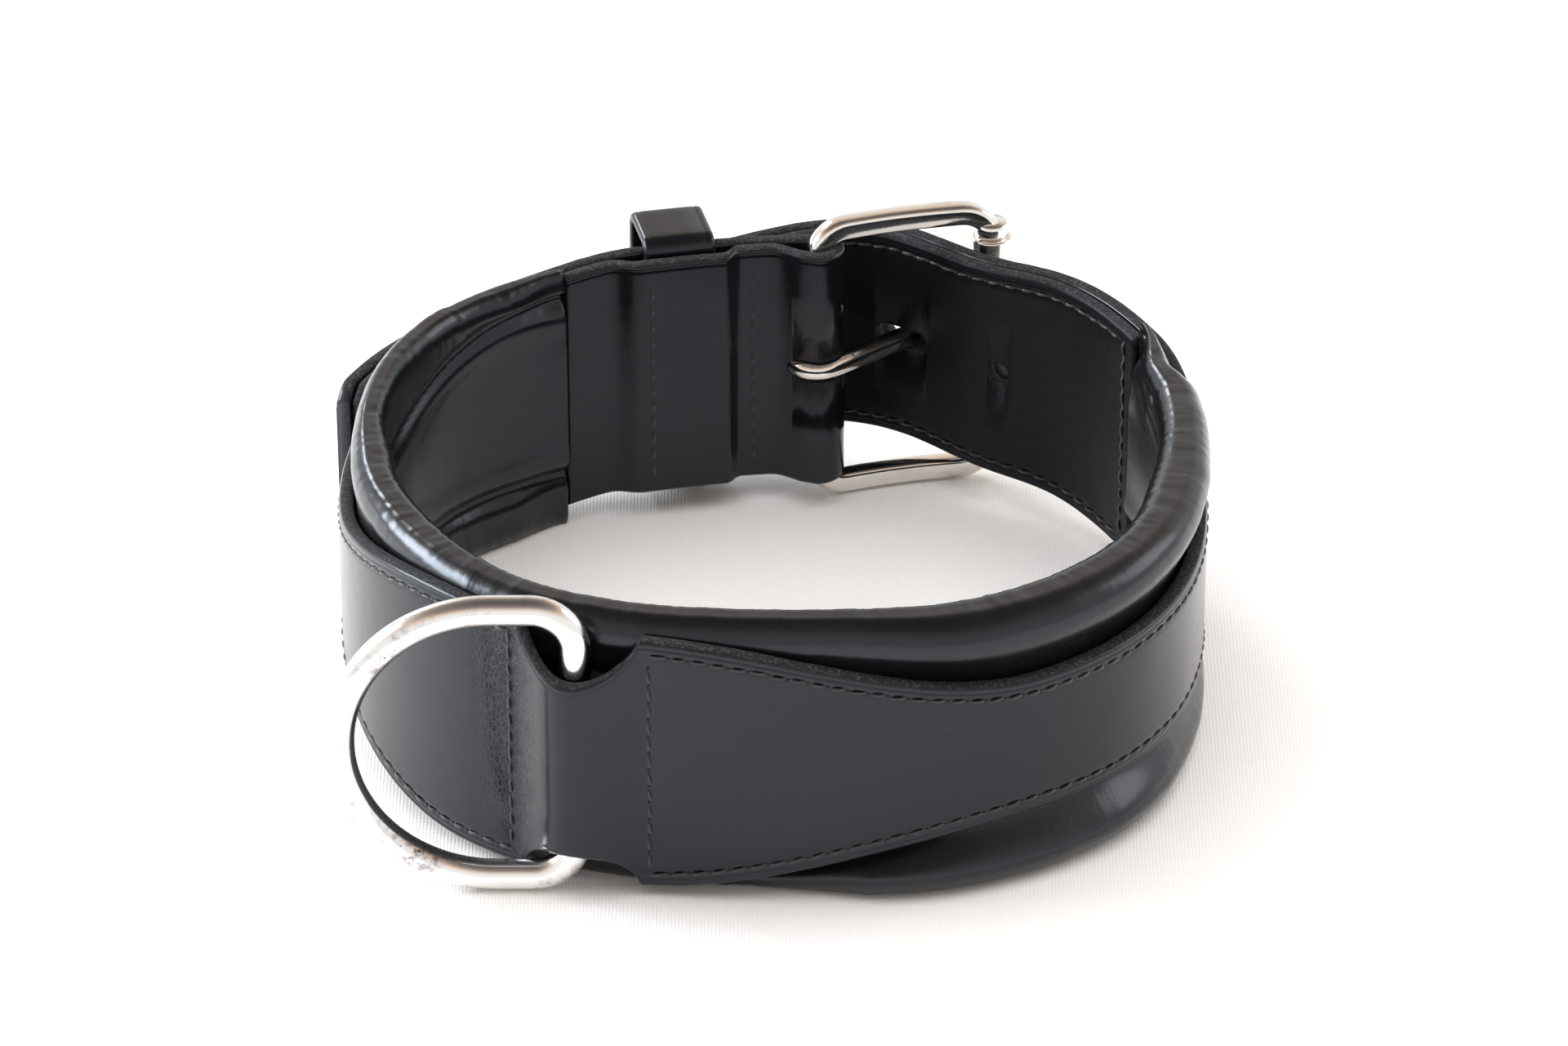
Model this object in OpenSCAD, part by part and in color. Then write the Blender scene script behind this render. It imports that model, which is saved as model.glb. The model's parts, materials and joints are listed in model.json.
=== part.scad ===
// Padded leather dog collar, buckled closed and standing on its lower edge.
// Millimetres, +Z up. The buckle is at the back (+Y) and the leash ring at the front left (-Y, -X).
// Every leather layer follows one centre line, so a place is (distance s along it, offset u, height z).
// s runs from the heel bar round the left side, the front and the right side to the billet's tip.
// u is measured outward from the inner face of the main strap.

/* [Leather] */
// Thickness of the main strap
strap_t = 3.0; // [2.5:0.1:3.4]
// Thickness of the leather sewn behind the billet
liner_t = 2.6; // [2:0.1:2.8]
// Thickness of the soft lining leather
lining_t = 1.2; // [0.8:0.1:1.6]
// Width of the strap where it folds round the heel bar
chape_w = 50; // [46:0.5:50]
// Width of the narrow stretches beside the front
waist_w = 28; // [24:0.5:34]
// Width of the tab that covers the leash ring's bar
tab_w = 51; // [46:0.5:52]
// Width of the billet where it starts
billet_w = 48; // [44:0.5:49]
// Width of the billet at its tip
tip_w = 40; // [34:0.5:44]
// Spacing of the billet's holes
hole_pitch = 22; // [20:0.5:25]
// Diameter of the billet's holes
hole_d = 4.6; // [4.4:0.1:5]

/* [Padding] */
// Height of the padded body
body_h = 55; // [55:0.5:58]
// Depth of the rolled edges at the front
front_roll = 9.5; // [9:0.25:11.5]
// Depth of the rolled edges at the sides
side_roll = 5.6; // [5:0.1:7]

/* [Buckle] */
// Outer height of the frame
frame_h = 59.6; // [58:0.1:60.4]
// Diameter of the frame's wire
frame_wire = 4.3; // [4:0.1:4.6]
// Distance from the heel bar to the roller
frame_len = 34.7; // [34:0.1:35.4]
// Outer diameter of the roller
roller_d = 7.8; // [7:0.1:8]
// Length of the roller
roller_len = 45; // [40:0.5:46]
// Diameter of the prong
prong_d = 4; // [3.6:0.1:4]
// Width of the keeper loop
keeper_w = 14; // [12:0.5:15]

/* [Leash ring] */
// Diameter of the ring's wire
ring_wire = 5.5; // [5:0.1:5.5]
// Outer height of the ring
ring_h = 60; // [58:0.5:60]
// Corner radius at the ends of the bar
ring_corner = 8; // [7:0.5:9]

/* [Stitching] */
// Diameter of the thread
thread_d = 0.7; // [0.5:0.1:0.9]
// Distance from the edge of the strap to the stitching
stitch_inset = 2.9; // [2.5:0.1:4]

/* [Hidden] */
$fn = 48;

leather = [0.06, 0.06, 0.07];
soft_leather = [0.10, 0.10, 0.11];
steel = [0.78, 0.77, 0.74];

// The middle of the whole collar, as seen from above, in the coordinates of the centre line below.
origin_x = -2.81;
origin_y = -6.37;

// Control points of the centre line, a smooth cubic through their neighbourhood.
ROUTE = [
    // fold, chape and left back
    [16, 60.2], [6, 59.6], [-4, 59], [-15, 57.4], [-27, 54.7], [-39, 51.2], [-51, 46], [-61.5, 38.5],
    [-70, 28],
    // left side and leash ring
    [-76, 14], [-78.7, -2], [-79, -19], [-76.5, -36], [-70, -52], [-60, -65.5], [-48, -75.5], [-36, -80.6],
    // front
    [-24, -83.8], [-10, -85], [5, -85.5], [20, -84.5], [33, -81.7], [46, -75.7], [58, -66], [67, -53.5],
    // right side
    [72.5, -38], [74.7, -21], [74.5, -4], [73, 12], [69, 27], [62, 39.5], [53, 49],
    // billet: through the roller, over the fold, through the keeper and along the left back
    [42.25, 53.15], [34.1, 59.65], [26, 67.6], [17, 72.6], [6, 73.5], [-6, 68.6], [-18, 63.1], [-30.2, 60.6],
    [-43.2, 57], [-55.7, 51.3], [-67.3, 42.6], [-76.4, 30.5], [-82.6, 16.6], [-86, 2.1]];

function blend(p, u) = (pow(1 - u, 3) * p[0] + (3 * pow(u, 3) - 6 * u * u + 4) * p[1]
    + (3 * u + 3 * u * u - 3 * pow(u, 3) + 1) * p[2] + pow(u, 3) * p[3]) / 6;
function slope(p, u) = (-pow(1 - u, 2) * p[0] + (3 * u * u - 4 * u) * p[1]
    + (1 + 2 * u - 3 * u * u) * p[2] + u * u * p[3]) / 2;
function knot(t) = min(floor(t), len(ROUTE) - 4);
function four(i) = [ROUTE[i], ROUTE[i + 1], ROUTE[i + 2], ROUTE[i + 3]];
function route(t) = blend(four(knot(t)), t - knot(t));
function route_slope(t) = slope(four(knot(t)), t - knot(t));

// Distance along the centre line against the spline's own parameter.
STEPS = (len(ROUTE) - 3) * 12;
ARC = [for (i = 0, d = 0; i <= STEPS; d = d + norm(route((i + 1) / 12) - route(i / 12)), i = i + 1)
    [d, i / 12]];
route_len = ARC[STEPS][0];

function spot(s) = route(lookup(s, ARC));
function along(s) = route_slope(lookup(s, ARC)) / norm(route_slope(lookup(s, ARC)));
function outward(s) = [along(s)[1], -along(s)[0]];
function place(s, u, z) = let (p = spot(s) + u * outward(s)) [p[0] - origin_x, p[1] - origin_y, z];
function heading(s) = atan2(along(s)[1], along(s)[0]);

// Smooth values between [s, value] keys.
function ease(x) = x * x * (3 - 2 * x);
function keyed(s, k, i = 0) = s <= k[0][0] ? k[0][1]
    : i >= len(k) - 1 ? k[len(k) - 1][1]
    : s < k[i + 1][0] ? k[i][1] + (k[i + 1][1] - k[i][1]) * ease((s - k[i][0]) / (k[i + 1][0] - k[i][0]))
    : keyed(s, k, i + 1);

// Stations along the centre line.
turnback_end = 50;
body_start = turnback_end + 0.4;
ring_s = 213;
ring_row = 12.6;
body_end = 410;
hole_s = 469.5;
tip_s = 597;
keeper_s = 26.5;

// Half width of the strap, and the height of its middle.
WIDTH = [[60, chape_w / 2], [108, waist_w / 2 + 0.5], [122, waist_w / 2 + 0.5], [ring_s - 24, tab_w / 2],
    [ring_s + 9, tab_w / 2], [ring_s + 82, waist_w / 2 - 0.2], [350, waist_w / 2], [body_end, billet_w / 2],
    [hole_s, 21.7], [hole_s + 40, tip_w / 2 + 0.5], [tip_s - 4, tip_w / 2], [tip_s, tip_w / 2 - 3]];
MIDDLE = [[35, 30.3], [turnback_end + 12, body_h / 2], [body_end, body_h / 2], [body_end + 38, 30.3],
    [hole_s + 32, 30.3], [tip_s - 40, 25.2], [tip_s, 25]];
function half(s) = keyed(s, WIDTH);
function middle(s) = keyed(s, MIDDLE);

// The strap stands off the padding where it covers the ring's bar.
bar_u = ring_wire / 2 + 0.35;
bar_lift = 2 * bar_u;
function bell(x) = abs(x) >= 1 ? 0 : (1 + cos(180 * x)) / 2;
function lift(s) = bar_lift * bell((s - ring_s) / ring_row);

// The fold round the heel bar, and the leather turned back inside the chape.
fold_r = frame_wire / 2 + 0.3;
layer_gap = 0.3;
keeper_t = 2.1;
keeper_gap = 0.4;
TURNBACK = [[0, 2 * fold_r], [9, layer_gap], [15, layer_gap], [18, keeper_t + 2 * keeper_gap],
    [35, keeper_t + 2 * keeper_gap], [41, layer_gap]];
function turnback(s) = -keyed(s, TURNBACK);

// A closed skin over rings of points, each ring counted the same way round.
// The ends are closed by strips across the ring, from each point to its opposite number.
function strip(n, first, flip) = [for (j = [0:n / 2 - 2], k = [0, 1])
    let (q = k == 0 ? [j, j + 1, n - 2 - j] : [j, n - 2 - j, n - 1 - j])
    [for (i = flip ? [2, 1, 0] : [0, 1, 2]) q[i] + first]];
module skin(rings) {
    n = len(rings[0]);
    last = len(rings) - 1;
    sides = [for (i = [0:last - 1], j = [0:n - 1], k = [0, 1]) let (a = i * n + j, b = i * n + (j + 1) % n)
        k == 0 ? [a, b + n, b] : [a, a + n, b + n]];
    polyhedron([for (r = rings) each r], concat(sides, strip(n, 0, false), strip(n, last * n, true)));
}

// One layer's cross-section between two offsets.
function slab(s, u0, u1, z, h) = [place(s, u0, z - h), place(s, u0, z + h), place(s, u1, z + h),
    place(s, u1, z - h)];
function steps(a, b, gap) = let (n = ceil((b - a) / gap)) [for (i = [0:n]) a + (b - a) * i / n];
// Stations from a to b at multiples of gap, which the layers share so that their faces stay parallel.
function stations(a, b, gap) = concat([a], [for (k = [floor(a / gap) + 1:ceil(b / gap) - 1]) k * gap], [b]);
station_gap = 6;

// Round cutter through the strap at s, with its axis along the outward direction.
module punch(s, z, d, depth = 20) {
    translate(place(s, -depth / 2, z)) rotate([0, 0, heading(s) - 90]) rotate([0, 90, 0])
        cylinder(d = d, h = depth);
}

// Thread lying on a face, as a thin square tube along a list of points.
function tube_ring(p, a, b) = [p + a, p - b, p - a, p + b];
thread_gap = 0.12;
module level_thread(s0, s1, u, z) {
    r = thread_d / 2;
    skin([for (s = stations(s0, s1, station_gap)) let (o = [outward(s)[0], outward(s)[1], 0])
        tube_ring(place(s, u(s) + r + thread_gap, z(s)), r * o, [0, 0, r])]);
}
module upright_thread(s, u, z0, z1) {
    r = thread_d / 2;
    translate(place(s, u + r + thread_gap, z0)) rotate([0, 0, heading(s)])
        translate([-r, -r, 0]) cube([thread_d, thread_d, z1 - z0]);
}

// The buckle's own frame: the heel bar is its origin, x points to the roller and y outward.
heel = place(0, -fold_r, middle(0));
frame_turn = 14.6;
running_fit = 0.07;
module at_buckle() {
    translate(heel) rotate([0, 0, frame_turn]) children();
}

// The leather of the chape: turned back along the inside, round the heel bar and away again.
function fold_ring(a) = let (o = outward(0), t = -along(0), d = -cos(a) * o + sin(a) * t, m = heel[2],
        h = half(0), p = [heel[0], heel[1]], q0 = p + fold_r * d, q1 = p + (fold_r + strap_t) * d)
    [[q0[0], q0[1], m - h], [q0[0], q0[1], m + h], [q1[0], q1[1], m + h], [q1[0], q1[1], m - h]];
function turnback_ring(s) = slab(s, turnback(s), turnback(s) - strap_t, middle(s), half(s));
function strap_ring(s) = slab(s, lift(s), lift(s) + strap_t, middle(s), half(s));

module strap_blank() {
    skin(concat(
        [for (s = stations(-turnback_end, -2, station_gap / 2)) turnback_ring(-s)],
        [for (a = steps(0, 180, 15)) fold_ring(a)],
        [for (s = stations(2, ring_s - ring_row, station_gap)) strap_ring(s)],
        [for (s = steps(ring_s - ring_row + 1, ring_s + ring_row, 2)) strap_ring(s)],
        [for (s = stations(ring_s + ring_row + 4, tip_s - 4, station_gap)) strap_ring(s)],
        [strap_ring(tip_s)]));
}

// Round bites that let the ring swing past the edges of the tab.
notch_r = 11.5;
notch_depth = 7.8;
notch_ahead = 0.2;
module ring_notches() {
    for (side = [-1, 1])
        punch(ring_s + notch_ahead, body_h / 2 + side * (tab_w / 2 + notch_r - notch_depth), 2 * notch_r, 30);
}

// The billet's holes. The one in use is a slot, long enough for the prong's slant and for its play.
slot_start = hole_s - 2.5;
slot_run = 7.2;
module billet_holes() {
    for (i = [-1, 1, 2, 3])
        punch(hole_s + i * hole_pitch, middle(hole_s + i * hole_pitch), hole_d);
    translate(place(slot_start, -10, middle(hole_s))) rotate([0, 0, heading(slot_start + slot_run / 2)])
        rotate([90, 0, 0]) linear_extrude(20) {
            circle(d = hole_d);
            translate([slot_run, 0]) circle(d = hole_d);
            translate([0, -hole_d / 2]) square([slot_run, hole_d]);
        }
}

// Slot in the fold for the prong's eye.
slot_back = 6.6;
slot_z = prong_d / 2 + 0.5;
module prong_slot() {
    translate([heel[0], heel[1], heel[2]]) rotate([0, 0, heading(0) + 180])
        translate([-slot_back, -8, -slot_z]) cube([slot_back + 8, 16, 2 * slot_z]);
}

module main_strap() {
    color(leather) difference() {
        strap_blank();
        ring_notches();
        billet_holes();
        prong_slot();
    }
}

liner_gap = 0.2;
function liner_ring(s) = slab(s, -liner_t - liner_gap, -liner_gap, middle(s), half(s) - 0.1);
module billet_liner() {
    color(leather) difference() {
        skin(concat(
            [for (s = stations(body_end + 0.4, tip_s - 4, station_gap)) liner_ring(s)],
            [liner_ring(tip_s - 0.1)]));
        billet_holes();
    }
}

// Cross-section of the padded body, as [u, height above the middle] from bottom to top.
// DEEP is how far the rolled edge reaches inward, SWELL how far outward, and ROLL its half height.
// Along the front and the right side the lower edge bulges further, by BELLY.
DEEP = [[body_start, 6.4], [85, 6], [119, side_roll], [138, side_roll + 2], [170, front_roll + 0.4],
    [213, front_roll], [300, front_roll], [345, 7.8], [377, side_roll], [body_end, 5]];
SWELL = [[body_start, -0.15], [85, 0.4], [138, 0.5], [160, -0.15], [254, -0.15], [285, 2.6], [377, 3.4],
    [body_end, 0.5]];
BELLY = [[236, -0.15], [250, 3.5], [275, 5], [310, 5], [345, 3.4], [377, 3.4], [body_end, 0.5]];
BELLY_ROLL = [[222, 5.4], [238, 2.6], [266, 5.4], [300, 5.4], [350, 4.4], [body_end, 3.8]];
ROLL = [[body_start, 4], [138, 4.2], [185, 5.4], [300, 5.4], [350, 4.4], [body_end, 3.8]];
skin_gap = 0.3;
foot = 1.07;
under = 9;
thinning = 0.78;
// How fast the roll may bulge past the strap's edge, for each millimetre of body beyond that edge.
bulge_rise = 2;
front_half = 200;
function is_belly(s, side) = side < 0 && s > front_half;
function half_section(s, inset, side) = let (
        h = body_h / 2, v = keyed(s, is_belly(s, side) ? BELLY_ROLL : ROLL), rv = v - inset,
        free = max(0, h - v - 1.5 - half(s)),
        out = min(keyed(s, is_belly(s, side) ? BELLY : SWELL), SWELL[0][1] + bulge_rise * free),
        deep = keyed(s, DEEP) - 0.4 * (out - keyed(s, SWELL)),
        c = (out - deep) / 2, ru = (out + deep) / 2 - inset, edge = min(half(s) + 0.4, h - v - 1.5))
    concat([[-skin_gap - inset, under - edge], [-skin_gap - inset, -edge]],
        [for (a = [0, -38, -75, -105, -142, -180])
            [c + ru * cos(a), max(-h + inset, v - h + foot * rv * sin(a))]],
        [[-thinning * keyed(s, DEEP) + inset, -under]]);
function mirrored(low) = [for (i = [len(low) - 1:-1:0]) [low[i][0], -low[i][1]]];
function contour(s, inset) = concat(half_section(s, inset, -1), mirrored(half_section(s, inset, 1)));
function put(s, section) = [for (q = section) place(s, q[0], q[1] + body_h / 2)];
function reversed(v) = [for (i = [len(v) - 1:-1:0]) v[i]];

module padded_lining() {
    color(soft_leather) skin([for (s = stations(body_start, body_end, station_gap))
        put(s, concat(contour(s, 0), reversed(contour(s, lining_t))))]);
}

// The felt fills the skin. Its section lists the inner side and the outer side with as many points each.
felt_gap = 0.35;
function between(a, b, x) = a + (b - a) * x;
function felt_inner(s, side) = let (q = half_section(s, lining_t + felt_gap, side))
    [q[5], q[6], q[7], between(q[7], q[8], 1 / 3), between(q[7], q[8], 2 / 3), q[8]];
function felt_outer(s, side) = let (q = half_section(s, lining_t + felt_gap, side))
    [[-skin_gap - felt_gap, q[0][1] + felt_gap], q[0] + [0, felt_gap], q[1] - [0, felt_gap],
        q[2] - [0, felt_gap], q[3], q[4]];
module padding_felt() {
    color("dimgray") skin([for (s = stations(body_start, body_end, station_gap))
        put(s, concat(felt_inner(s, -1), mirrored(felt_inner(s, 1)), mirrored(felt_outer(s, 1)),
            felt_outer(s, -1)))]);
}

// Keeper: a band round the outside of the billet, its ends sewn in between the chape's layers.
keeper_reach = 11.3;
keeper_tuck = 8;
keeper_r = 1;
module rounded(x0, x1, y0, y1, r) {
    translate([x0 + r, y0]) square([x1 - x0 - 2 * r, y1 - y0]);
    translate([x0, y0 + r]) square([x1 - x0, y1 - y0 - 2 * r]);
    for (x = [x0 + r, x1 - r], y = [y0 + r, y1 - r]) translate([x, y]) circle(r = r);
}
module keeper_loop() {
    h = chape_w / 2 + 0.6;
    back = -keeper_gap - keeper_t;
    color(leather) translate(place(keeper_s, 0, middle(keeper_s))) rotate([90, 0, heading(keeper_s) - 90])
        translate([0, 0, -keeper_w / 2]) linear_extrude(keeper_w) difference() {
            rounded(back, keeper_reach + keeper_t, -h - keeper_t, h + keeper_t, keeper_r + keeper_t);
            rounded(back + keeper_t, keeper_reach, -h, h, keeper_r);
            translate([back - 1, -h + keeper_tuck]) square([keeper_t + 2, 2 * (h - keeper_tuck)]);
        }
}

// Buckle frame: bowed rails, a heel bar and a roller bar.
bow = 1.5;
bow_r = pow(frame_len / 2, 2) / (2 * bow) + bow / 2;
frame_r = 8;
shoulder = 2.8;
module rails() {
    w = frame_wire / 2;
    intersection() {
        translate([frame_len / 2, bow - bow_r, -frame_h / 2]) linear_extrude(frame_h) difference() {
            circle(r = bow_r + w, $fn = 360);
            circle(r = bow_r - w, $fn = 360);
        }
        rotate([90, 0, 0]) translate([0, 0, -20]) linear_extrude(40) difference() {
            rounded(-w, frame_len + w, -frame_h / 2, frame_h / 2, frame_r);
            translate([-2 * w, -frame_h / 2 + frame_wire])
                square([frame_len + 4 * w, frame_h - 2 * frame_wire]);
        }
    }
}
module bar(r, h) {
    translate([0, 0, -h / 2]) cylinder(r = r, h = h);
}
module buckle_frame() {
    inner = frame_h - 2 * frame_wire;
    color(steel) at_buckle() {
        rails();
        bar(frame_wire / 2, frame_h - frame_wire);
        translate([frame_len, 0, 0]) {
            bar(frame_wire / 2, frame_h - frame_wire);
            for (z = [-1, 1]) translate([0, 0, z * (inner - shoulder) / 2]) bar(3.2, shoulder + 0.2);
        }
    }
}
module buckle_roller() {
    color(steel) at_buckle() translate([frame_len, 0, 0]) difference() {
        bar(roller_d / 2, roller_len);
        bar(frame_wire / 2 + running_fit, roller_len + 2);
    }
}

// Prong: an eye round the heel bar and a shank that bends to lie on the roller.
shank_turn = 26;
bend_r = 14;
eye_in = frame_wire / 2 + running_fit;
eye_r = eye_in + prong_d / 2;
eye_h = prong_d + 0.3;
rest_y = roller_d / 2 + prong_d / 2 + 0.1;
shank_len = (rest_y + eye_r * cos(shank_turn) - bend_r * (1 - cos(shank_turn))) / sin(shank_turn);
bend_x = eye_r * sin(shank_turn) + shank_len * cos(shank_turn) + bend_r * sin(shank_turn);
prong_reach = frame_len + 4.5;
prong_sides = 16;
bend_step = 6.5;
// One ring of the shank at point p, where the shank runs at angle a.
function shank_ring(p, a, r) = [for (i = [0:prong_sides - 1]) let (b = 360 * (i + 0.5) / prong_sides)
    [p[0] + r * cos(b) * sin(a), p[1] - r * cos(b) * cos(a), -r * sin(b)]];
module prong_shank() {
    r = prong_d / 2;
    skin(concat(
        [shank_ring(eye_r * [sin(shank_turn), -cos(shank_turn)], shank_turn, r)],
        [for (a = [shank_turn:-bend_step:0])
            shank_ring([bend_x - bend_r * sin(a), rest_y - bend_r * (1 - cos(a))], a, r)],
        [for (b = [0, 25, 50, 72]) shank_ring([prong_reach + r * sin(b), rest_y], 0, r * cos(b))]));
}
module buckle_prong() {
    color(steel) at_buckle() {
        difference() {
            bar(eye_r + prong_d / 2 - 0.02, eye_h);
            bar(eye_in, eye_h + 2);
        }
        prong_shank();
    }
}

// Leash ring: a straight bar, two corners and a half circle.
ring_deep = 41.9;
ring_half = (ring_h - ring_wire) / 2;
ring_z = ring_h / 2 + 0.3;
module wire_arc(r, a0, a) {
    rotate([0, 0, a0]) rotate_extrude(angle = a) translate([r, 0]) circle(d = ring_wire, $fn = 32);
}
module d_ring() {
    flat = ring_half - ring_corner;
    color(steel) translate(place(ring_s, bar_u, ring_z)) rotate([90, 0, 180]) {
        rotate([90, 0, 0]) bar(ring_wire / 2, 2 * flat);
        translate([ring_deep - ring_half, 0]) wire_arc(ring_half, -90, 180);
        for (side = [0, 1]) mirror([0, side, 0]) {
            translate([ring_corner, flat]) wire_arc(ring_corner, 90, 90);
            translate([ring_corner, ring_half, 0]) rotate([0, 90, 0])
                cylinder(d = ring_wire, h = ring_deep - ring_half - ring_corner, $fn = 32);
        }
    }
}

// Stitching.
face = function (s) strap_t + lift(s);
function edge_z(side, inset) = function (s) middle(s) + side * (half(s) - inset);
thread = [0.03, 0.03, 0.03];
front_s = ring_s + ring_row;
rear_s = ring_s - ring_row;
side_s = 42;
tip_row = tip_s - 6;
module edge_thread(s0, s1, side) {
    color(thread) level_thread(s0, s1, face, edge_z(side, stitch_inset));
}
module cross_thread(s, u, side = 1) {
    h = half(s) - stitch_inset - 1;
    back = side < 0 ? thread_d + 2 * thread_gap : 0;
    color(thread) upright_thread(s, u - back, middle(s) - h, middle(s) + h);
}
module front_upper_thread() { edge_thread(front_s, body_end, 1); }
module front_lower_thread() { edge_thread(front_s, body_end, -1); }
module ring_front_thread() { cross_thread(front_s, strap_t); }
module ring_rear_thread() { cross_thread(rear_s, strap_t); }
module side_upper_thread() { edge_thread(side_s, rear_s, 1); }
module side_lower_thread() { edge_thread(side_s, rear_s, -1); }
module keeper_front_thread() { cross_thread(12.5, turnback(12.5) - strap_t, -1); }
module keeper_rear_thread() { cross_thread(33, turnback(33) - strap_t, -1); }
module billet_upper_thread() { edge_thread(body_end + 6, tip_row, 1); }
module billet_lower_thread() { edge_thread(body_end + 6, tip_row, -1); }
module billet_tip_thread() { cross_thread(tip_row, strap_t); }
module pad_end_thread() { cross_thread(body_end + 4, strap_t); }

main_strap();
billet_liner();
padding_felt();
padded_lining();
keeper_loop();
buckle_frame();
buckle_roller();
buckle_prong();
d_ring();
front_upper_thread();
front_lower_thread();
ring_front_thread();
ring_rear_thread();
side_upper_thread();
side_lower_thread();
keeper_front_thread();
keeper_rear_thread();
billet_upper_thread();
billet_lower_thread();
billet_tip_thread();
pad_end_thread();
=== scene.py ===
"""Looks of the padded leather dog collar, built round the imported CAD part.

The leather is built in the collar's own coordinates, as in the CAD: s along the centre line from the
heel bar, u outward from the strap's inner face, z up. They are in millimetres and become metres in the mesh.
"""

import json
import math

import bmesh
import bpy
import numpy as np
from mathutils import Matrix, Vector, noise


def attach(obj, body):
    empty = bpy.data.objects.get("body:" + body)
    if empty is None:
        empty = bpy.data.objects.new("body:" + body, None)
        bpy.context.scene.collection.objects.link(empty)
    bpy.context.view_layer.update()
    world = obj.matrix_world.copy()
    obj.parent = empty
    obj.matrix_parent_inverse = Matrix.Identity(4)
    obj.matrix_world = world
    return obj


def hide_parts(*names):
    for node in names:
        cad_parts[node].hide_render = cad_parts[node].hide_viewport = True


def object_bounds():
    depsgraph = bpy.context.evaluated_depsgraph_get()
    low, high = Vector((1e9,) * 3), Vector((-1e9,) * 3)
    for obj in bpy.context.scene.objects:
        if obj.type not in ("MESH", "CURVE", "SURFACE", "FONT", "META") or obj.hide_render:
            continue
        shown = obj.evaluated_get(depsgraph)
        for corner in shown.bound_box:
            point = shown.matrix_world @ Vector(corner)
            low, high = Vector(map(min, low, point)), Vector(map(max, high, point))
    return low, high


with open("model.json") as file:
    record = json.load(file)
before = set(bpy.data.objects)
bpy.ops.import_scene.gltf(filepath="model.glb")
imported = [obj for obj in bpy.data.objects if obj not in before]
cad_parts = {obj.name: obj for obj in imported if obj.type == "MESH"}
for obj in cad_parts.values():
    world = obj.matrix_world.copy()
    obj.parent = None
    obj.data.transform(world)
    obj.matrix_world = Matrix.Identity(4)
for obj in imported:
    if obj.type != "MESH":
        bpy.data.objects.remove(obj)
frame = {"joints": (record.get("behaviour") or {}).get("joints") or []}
cad_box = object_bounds()
JOINTS = {j["name"]: j for j in frame["joints"]}
MM = 0.001
rng = np.random.RandomState(7)

# ------------------------ centre line
ROUTE = np.array([
    (16, 60.2), (6, 59.6), (-4, 59), (-15, 57.4), (-27, 54.7), (-39, 51.2), (-51, 46), (-61.5, 38.5), (-70, 28),
    (-76, 14), (-78.7, -2), (-79, -19), (-76.5, -36), (-70, -52), (-60, -65.5), (-48, -75.5), (-36, -80.6),
    (-24, -83.8), (-10, -85), (5, -85.5), (20, -84.5), (33, -81.7), (46, -75.7), (58, -66), (67, -53.5),
    (72.5, -38), (74.7, -21), (74.5, -4), (73, 12), (69, 27), (62, 39.5), (53, 49),
    (42.25, 53.15), (34.1, 59.65), (26, 67.6), (17, 72.6), (6, 73.5), (-6, 68.6), (-18, 63.1), (-30.2, 60.6),
    (-43.2, 57), (-55.7, 51.3), (-67.3, 42.6), (-76.4, 30.5), (-82.6, 16.6), (-86, 2.1)])


def spline(t):
    """Uniform cubic B-spline through the neighbourhood of ROUTE, and its slope."""
    k = np.minimum(np.floor(t).astype(int), len(ROUTE) - 4)
    x = (t - k)[:, None]
    p = [ROUTE[k + i] for i in range(4)]
    at = ((1 - x) ** 3 * p[0] + (3 * x ** 3 - 6 * x ** 2 + 4) * p[1]
          + (3 * x + 3 * x ** 2 - 3 * x ** 3 + 1) * p[2] + x ** 3 * p[3]) / 6
    slope = (-(1 - x) ** 2 * p[0] + (3 * x ** 2 - 4 * x) * p[1] + (1 + 2 * x - 3 * x ** 2) * p[2]
             + x ** 2 * p[3]) / 2
    return at, slope


T = np.linspace(0, len(ROUTE) - 3, (len(ROUTE) - 3) * 100 + 1)
LINE, SLOPE = spline(T)
ARC = np.concatenate([[0], np.cumsum(np.linalg.norm(np.diff(LINE, axis=0), axis=1))])
SLOPE /= np.linalg.norm(SLOPE, axis=1)[:, None]


def along(s):
    v = np.stack([np.interp(s, ARC, SLOPE[:, i]) for i in (0, 1)], -1)
    return v / np.linalg.norm(v, axis=-1, keepdims=True)


def outward(s):
    a = along(s)
    return np.stack([a[..., 1], -a[..., 0]], -1)


def spot(s):
    return np.stack([np.interp(s, ARC, LINE[:, i]) for i in (0, 1)], -1)


# ------------------------ sizes, as in the CAD
STRAP_T, LINER_T, LINING_T, BODY_H = 3.0, 2.6, 1.2, 55.0
TURNBACK_END, BODY_START, BODY_END = 50.0, 50.4, 410.0
RING_S, RING_ROW, HOLE_S, TIP_S, KEEPER_S = 213.0, 12.6, 469.5, 597.0, 26.5
HOLE_PITCH, HOLE_D = 22.0, 4.6
# The tip's corners are rounded over its last stretch.
TIP_ROUND = 4
TIP_START = TIP_S - TIP_ROUND
# Rows of stitches: across the strap, and where the rows along its side and along the billet start.
REAR_ROW, FRONT_ROW, PAD_ROW, TIP_ROW = RING_S - RING_ROW, RING_S + RING_ROW, BODY_END + 4, TIP_S - 6
SIDE_FROM, BILLET_FROM, KEEPER_ROWS = 42, BODY_END + 6, (12.5, 33.0)
SLOT_START, SLOT_RUN = HOLE_S - 2.5, 7.2
INSET = 2.9
WIRE, RING_WIRE = 4.3, 5.5
RING_UP = RING_WIRE / 2 + 0.35
FOLD_R = WIRE / 2 + 0.3
WIDTH = [(60, 25), (108, 14.5), (122, 14.5), (RING_S - 24, 25.5), (RING_S + 9, 25.5), (RING_S + 82, 13.8),
         (350, 14), (BODY_END, 24), (HOLE_S, 21.7), (HOLE_S + 40, 20.5), (TIP_START, 20), (TIP_S, 17)]
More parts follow.
